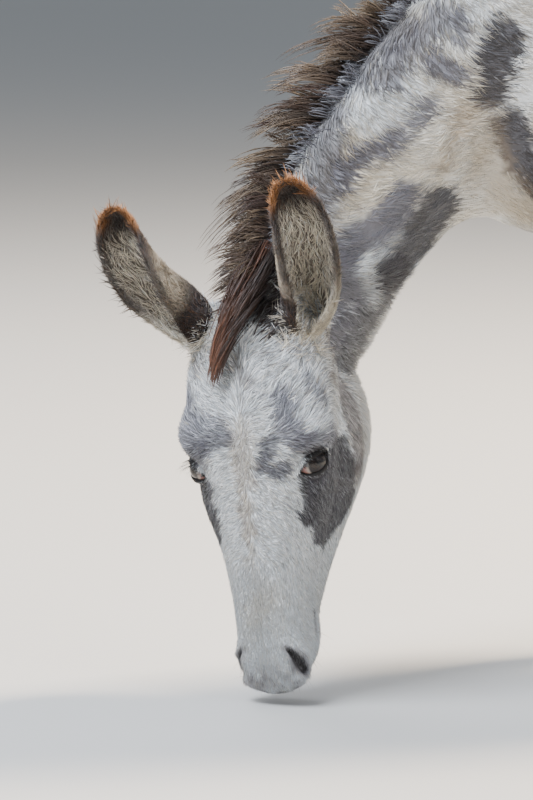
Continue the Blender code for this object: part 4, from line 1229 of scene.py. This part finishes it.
def mane_frame(share):
    """Crest point, up, right, towards the head, and the mane's height at each share of the crest."""
    crest, throat, along = (read_rows(rows, share) for rows in (CREST, THROAT, NECK_ALONG))
    up = unit(crest - throat)
    height = np.interp(share, MANE_HEIGHT[:, 0], MANE_HEIGHT[:, 1] / 1000)[:, None]
    return crest, up, unit(np.cross(up, along)), -along, height


random = np.random.default_rng(201)
each = (MANE_LOCKS, 1)
even = random.uniform(MANE_FROM, MANE_TO, MANE_LOCKS - POLL_LOCKS)
crest, up, aside, ahead, height = mane_frame(np.concatenate((even, random.uniform(0.0, 0.20, POLL_LOCKS))))
height = height * random.uniform(0.50, 1.20, each)
lean = random.normal(0.14, 0.30, each)
droop = np.clip(random.normal(1.55, 0.50, each), 0.3, 2.5)
starts = crest - up * 0.014 + aside * random.uniform(-0.009, 0.009, each)
goals = crest + (up + aside * lean + ahead * droop) * height
bends = up * height * random.uniform(0.20, 0.55, each) + aside * random.normal(0, 0.004, each)
dark = BLACK + (BROWN - BLACK) * random.uniform(0.1, 0.8, each)
light = BROWN + (SAND - BROWN) * random.uniform(0.0, 0.75, each)
grow_locks("mane_hair", starts, goals, aside, bends, MANE_STRANDS, 0.0045, 0.0014, dark, light, 202)
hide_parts("mane")

each = (CREST_LOCKS, 1)
crest, up, aside, ahead, height = mane_frame(random.uniform(MANE_FROM, MANE_TO, CREST_LOCKS))
flank = random.choice((-1.0, 1.0), each) * random.uniform(0.007, 0.016, each)
starts = crest - up * 0.016 + aside * flank
short = 0.55 * height * random.uniform(0.6, 1.1, each)
goals = starts + (up * 0.9 + ahead * random.normal(0.7, 0.35, each)) * short
outwards, bends = aside * np.sign(flank), up * short * 0.15
dark = SLATE * random.uniform(0.35, 0.9, each)
light = SLATE + (WHITE - SLATE) * random.uniform(0.0, 0.45, each)
grow_locks("crest_fringe", starts, goals, outwards, bends, CREST_STRANDS, 0.0055, 0.0012, dark, light, 204, 4)

# %% [markdown]
# ## Forelock
# A reddish-brown bunch falls from between the ears to the brow, with dark, curlier hair beside it.

# %% Forelock
# the bunch's path in the head's axes, then its half width
FORELOCK = smooth_path(mm(
    (-110, -16, 24, 10), (-79, 0, 24, 17), (-36, 18, 15, 20), (1, 31, -2, 15), (40, 36, -20, 9),
    (94, 26, -34, 3),
), 40)
LOCKS, STRANDS = 40, 20


def on_bunch(share, across, deep):
    """Points of the bunch: share along it, across it from -1 to 1, and deep as a share of its width."""
    row = read_rows(FORELOCK, share)
    offset = np.stack((0 * share, -deep * row[:, 3], across * row[:, 3]), axis=1)
    return from_head(row[:, :3] + offset)


random = np.random.default_rng(211)
begin = np.sort(random.uniform(0.06, 0.62, LOCKS))
end = np.clip(begin + random.uniform(0.26, 0.52, LOCKS), 0, 1)
end[::4] = random.uniform(0.90, 1.0, len(end[::4]))
across = random.uniform(-1, 1, LOCKS)
starts = on_bunch(begin, across, 1.5)
goals = on_bunch(end, across * 0.9, random.uniform(-0.2, 0.5, LOCKS))
bends = on_bunch((begin + end) / 2, across, random.uniform(-0.5, 0.3, LOCKS)) - (starts + goals) / 2
russet = BROWN + (RUST - BROWN) * random.uniform(0.05, 0.26, (LOCKS, 1))
# locks that end high, under the ears, are darker and those reaching the brow lighter: painted shade at the
# top of the bunch
russet *= 0.55 + 0.65 * fade(end, 0.45, 0.95)[:, None]
dark_side = fade(across, -0.1, 0.8)[:, None] * 0.85
dark = russet * 0.55 + (BLACK - russet * 0.55) * dark_side
light = russet * 1.25 + (BROWN * 0.6 - russet * 1.25) * dark_side
outwards = every(AXES @ np.array((0.1, 1.0, 0.0)), starts)
grow_locks("forelock_hair", starts, goals, outwards, bends, STRANDS, 0.0042, 0.0017, dark, light, 212, 6)
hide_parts("forelock")

# %% [markdown]
# ### Curls on the poll and fur at the ears' roots
# Dark curly hair fills the poll beside the forelock, a pale whorl closes the brow's middle, and soft
# cream fur grows out of the root of each ear, where the trough opens.

# %% Poll curls, whorl and ear-root fur
POLL_CURLS = mm((-60, -24, 20), (-30, -20, 14), (-4, -2, 22), (8, 4, 26))
BROW_MIDDLE = ((0.128, 0.018, -0.002), (WHORL, 0.018, -0.002), (0.190, 0.012, -0.002))


def grow_patch(name, path, radius, density, length, width, lift, shade, seed, ways=None):
    """Longer hair over a patch of the head's skin."""
    near = distance_to_path(to_head(CENTRES), path)[0] < radius * (1 + 0.35 * ripple(CENTRES, 0.012, seed))
    roots = spread(density * (near & ~EAR_FACE), seed)
    way = lie_on_face(roots[0]) if ways is None else unit(ways)
    way = unit(way + 0.45 * swirl(roots[0], 0.014, seed))
    grow(name, roots, length, width, lift, 3, 0.30, seed + 9, every(shade, roots[0]), way)


dark, pale = BLACK + (BROWN - BLACK) * 0.35, WHITE * 0.6 + SAND * 0.4
grow_patch("poll_curls", POLL_CURLS, 0.023, 1.6e5, 0.032, 0.0019, 0.42, dark, 251)
grow_patch("whorl_hair", BROW_MIDDLE, 0.014, 4.5e5, 0.012, 0.0011, 0.30, pale, 271, AXES[:, 0])
for side in SIDES:
    _, line, looks = ear_rings(side)
    root, upwards = to_head(line[:8:3]), (line[12] - line[0]) + looks[4] * 0.02
    grow_patch(f"ear_root_{side}", root, 0.036, 1.7e5, 0.028, 0.0012, 0.46, EAR_CREAM, 261, upwards)

# %% [markdown]
# ## Tail
# The dock is haired short like the body; from its lower half hangs a switch of long dark hair.

# %% Tail switch
TAIL_LOCKS, TAIL_STRANDS = 44, 20
tail_low, tail_high = (np.array(corner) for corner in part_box("tail_switch"))
random = np.random.default_rng(221)
each = (TAIL_LOCKS, 1)
turn = random.uniform(0, 2 * math.pi, TAIL_LOCKS)
radial = np.stack((np.cos(turn), np.sin(turn), 0 * turn), axis=1)
rise = random.uniform(0.35, 1.0, each)
starts = (tail_low + tail_high) / 2 * (1, 1, 0) + radial * random.uniform(0.002, 0.011, each)
starts[:, 2] = tail_low[2] + (tail_high[2] + 0.02 - tail_low[2]) * rise[:, 0]
reach = np.minimum(starts[:, 2] - tail_low[2], random.uniform(0.06, 0.20, TAIL_LOCKS))
goals = starts + radial * random.uniform(-0.010, 0.006, each)
goals[:, 2] = starts[:, 2] - reach
bends = radial * 0.014
dark = BLACK + (BROWN - BLACK) * random.uniform(0.0, 0.7, each)
grow_locks("tail_hair", starts, goals, radial, bends, TAIL_STRANDS, 0.0045, 0.0020, dark, dark * 1.5, 222)
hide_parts("tail_switch")

# %% [markdown]
# ## Eyes
# A glass or resin eye: a ball with a bulging cornea, a dark brown iris, a level slit of a pupil, and
# the white turning pink away from the iris. The clear layer of tears over it gives one sharp
# highlight.

# %% Eyes
GAZE = np.array((0.18, 0.36, 0.92))  # of the left eye, in the head's axes
IRIS, PUPIL = 0.88, (0.42, 0.22)  # half angles in radians; the pupil is wide and low
IRIS_BROWN, SCLERA = linear("21140c"), linear("a3978c")
BALL, CORNEA = EYE_RADIUS - 0.0004, 0.0012  # the ball just inside the lids, and its bulge


def make_eye(side):
    gaze = AXES @ unit(GAZE * SIDES[side])
    level = unit(np.cross(gaze, AXES @ np.array((1.0, 0.0, 0.0))))
    turn = Matrix(np.array((np.cross(level, gaze), level, gaze)).T.tolist())
    bm = bmesh.new()
    bmesh.ops.create_uvsphere(bm, u_segments=64, v_segments=48, radius=BALL)
    for vert in bm.verts:
        around = math.atan2(vert.co.y, vert.co.x)
        angle = math.pi * (vert.co.angle(Vector((0, 0, 1))) / math.pi) ** 1.5
        radius = BALL + CORNEA * math.exp(-((angle / 0.62) ** 4))
        across, ahead = math.sin(angle), math.cos(angle)
        vert.co = turn @ (radius * Vector((across * math.cos(around), across * math.sin(around), ahead)))
    bmesh.ops.recalc_face_normals(bm, faces=bm.faces)
    eyeball = keep(bm, f"eyeball_{side}")
    mesh = eyeball.data
    local = unit(points_of(mesh)) @ np.array(turn)
    angle = np.arccos(np.clip(local[:, 2], -1, 1))
    around = np.arctan2(local[:, 1], local[:, 0])
    colours = mix(every(SCLERA, local), PINK, fade(angle, IRIS + 0.08, IRIS + 0.36) * 0.85)
    fibres = 1 + 0.35 * np.sin(around * 23 + 3 * np.sin(around * 5)) * fade(angle, 0.2, 0.5)
    colours = np.where((angle < IRIS)[:, None], IRIS_BROWN * fibres[:, None], colours)
    colours = mix(colours, BLACK, np.exp(-((angle - IRIS) / 0.07) ** 2))
    pupil = (local[:, 1] / PUPIL[0]) ** 2 + (local[:, 0] / PUPIL[1]) ** 2 < 1
    colours[pupil & (local[:, 2] > 0)] = (0.003, 0.003, 0.004)
    set_points(mesh, points_of(mesh) + EYES[side])
    paint(mesh, "eye", colours)
    mesh.shade_smooth()
    return eyeball


moist_eye, eye_shader = new_material(
    "moist_eye", 0.45, Specular_IOR_Level=0.2, Coat_Weight=1.0, Coat_Roughness=0.02, Coat_IOR=1.38)
eye_colour = add_node(moist_eye, "ShaderNodeAttribute", {"attribute_name": "eye"})
moist_eye.node_tree.links.new(eye_colour.outputs["Color"], eye_shader.inputs["Base Color"])
for side in SIDES:
    eyeball = make_eye(side)
    eyeball.data.materials.append(moist_eye)
    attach(eyeball, "root")
    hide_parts(f"eye_{side}")

# %% [markdown]
# ## Lashes and whiskers
# Long dark lashes stand along the upper lid and point down and outwards; single stiff whiskers grow
# from the lips and chin.

# %% Lashes and whiskers
LASHES, LASH_LENGTH, LASH_WIDTH, WHISKER_WIDTH = 44, 0.017, 0.0007, 0.0004
FLOOR_GAP = 0.004  # kept between whiskers and the floor


def grow_lashes(side):
    along, out, brow = eye_axes(side)
    random = np.random.default_rng(231 + (side == "left"))
    place = random.uniform(-0.75, 0.95, LASHES) * ALMOND
    height = UPPER * np.clip(1 - (place / ALMOND) ** 2, 0, 1) ** 0.75 * 1.10
    ball = np.sqrt(np.maximum((EYE_RADIUS + 0.0010) ** 2 - place**2 - height**2, 0))
    starts = EYES[side] + place[:, None] * along + height[:, None] * brow + ball[:, None] * out
    drop = AXES @ unit(np.array((0.55, 0.05, 0.35)) * SIDES[side])
    way = out + (place / ALMOND)[:, None] * along * 0.45 + brow * 0.25
    way = unit(way + drop * random.uniform(0.15, 0.40, (LASHES, 1)))
    length = LASH_LENGTH * random.uniform(0.6, 1.0, (LASHES, 1))
    length = (length * (1 - 0.35 * np.abs(place / ALMOND))[:, None])[:, None]
    share = np.linspace(0, 1, 5)[None, :, None]
    lines = starts[:, None] + way[:, None] * length * share + (drop * 0.45) * length * share**2
    widths = np.full((LASHES, 4), LASH_WIDTH) * (1.0, 0.9, 0.7, 0.45)
    shades = np.full((LASHES, 5, 3), 0.006)
    hair_mesh(f"lashes_{side}", lines, widths, every(out, starts), shades, nearest_map(starts), LONG_HAIR)


def grow_whiskers():
    lips = (folded[:, 0] > 0.395) & (HEAD_FACE > 0.5) & HAIRY
    places, normals, spots = spread(3600.0 * lips, 241)
    random = np.random.default_rng(242)
    way = unit(normals + lie_of_coat(places, normals) * 0.8 + random.normal(size=(len(places), 3)) * 0.2)
    length = random.uniform(0.010, 0.022, (len(places), 1))
    share = np.linspace(0, 1, 4)[None, :, None]
    lines = places[:, None] + way[:, None] * length[:, None] * share
    lines[..., 2] -= length * 0.25 * share[..., 0] ** 2
    clear = lines[:, -1, 2] > FLOOR_GAP
    count = int(clear.sum())
    widths = np.full((count, 3), WHISKER_WIDTH) * (1.0, 0.8, 0.5)
    shades = np.repeat((TAUPE * 0.7)[None, None], count, axis=0) * np.ones((1, 4, 1))
    hair_mesh("whiskers", lines[clear], widths, normals[clear], shades, spots[clear], LONG_HAIR)
    return count


for side in SIDES:
    grow_lashes(side)
print("whiskers", grow_whiskers())

# %% [markdown]
# ## Hooves
# A donkey's hoof is small, upright and narrow. Rings are extruded from the flat sole up to the
# coronet; each is a little smaller and further back, and shallow growth rings run round the wall.
# The horn is dark, faintly banded along its growth, dull with a slight waxy shine.

# %% Hooves
HOOF_RINGS, HOOF_SIDES = 22, 40


def make_hoof(leg):
    low, high = (np.array(corner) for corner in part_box(f"{leg}_hoof"))
    centre, size = (low + high) / 2, high - low
    bm = bmesh.new()
    rings = [bmesh.ops.create_circle(bm, cap_ends=True, segments=HOOF_SIDES, radius=1.0)["verts"]]
    edges = list({edge for vert in rings[0] for edge in vert.link_edges})
    for _ in range(HOOF_RINGS):
        row, edges = next_ring(bm, rings[-1], edges)
        rings.append(row)
    bmesh.ops.contextual_create(bm, geom=edges)
    for number, ring in enumerate(rings):
        share = number / HOOF_RINGS
        growth = 1 + 0.010 * math.sin(share * 44) * (share < 0.9)
        rounding = 1 - 0.30 * max(share - 0.82, 0.0) / 0.18
        narrow = (1 - 0.17 * share) * growth * rounding
        deep = (size[1] / 2 - 0.004) * (1 - 0.27 * share) * growth * rounding
        for vert in ring:
            x, y = vert.co.x, vert.co.y
            heel = 1 - 0.10 * max(y, 0.0) ** 2
            vert.co = (
                centre[0] + x * (size[0] / 2) * 0.97 * narrow * heel,
                centre[1] + y * deep + (0.014 * share - 0.003),
                low[2] + share * (size[2] - 0.006) + 0.010 * share * -y,
            )
    bmesh.ops.recalc_face_normals(bm, faces=bm.faces)
    hoof = keep(bm, f"{leg}_horn")
    hoof.data.shade_smooth()
    return hoof


keratin, horn_shader = new_material("hoof_keratin", 0.42)
place = add_node(keratin, "ShaderNodeTexCoord").outputs["Object"]
stretch = add_node(keratin, "ShaderNodeMapping", {"Scale": (1.0, 1.0, 6.0)}, Vector=place).outputs["Vector"]
bands = add_node(keratin, "ShaderNodeTexNoise", {"Scale": 60.0, "Detail": 4.0}, Vector=stretch)
tone = add_node(keratin, "ShaderNodeMix", {"data_type": "RGBA"}, Factor=bands.outputs["Fac"])
for socket, hex_colour in ((6, "1c1816"), (7, "4c4238")):
    tone.inputs[socket].default_value = (*linear(hex_colour), 1)
keratin.node_tree.links.new(tone.outputs[2], horn_shader.inputs["Base Color"])
bump_up(keratin, horn_shader, bands, 0.3, 0.0008)
for leg in LEGS:
    hoof = make_hoof(leg)
    hoof.data.materials.append(keratin)
    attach(hoof, "root")
    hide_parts(f"{leg}_hoof")
print("hooves", len(LEGS))

# %% [markdown]
# ## Finish
# Every piece of coat rides on the one body.

# %% Hand over and measure
for piece in COAT_PIECES:
    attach(piece, "root")
total = 0
for piece in (*COAT_PIECES, skin):
    piece.data.calc_loop_triangles()
    total += len(piece.data.loop_triangles)
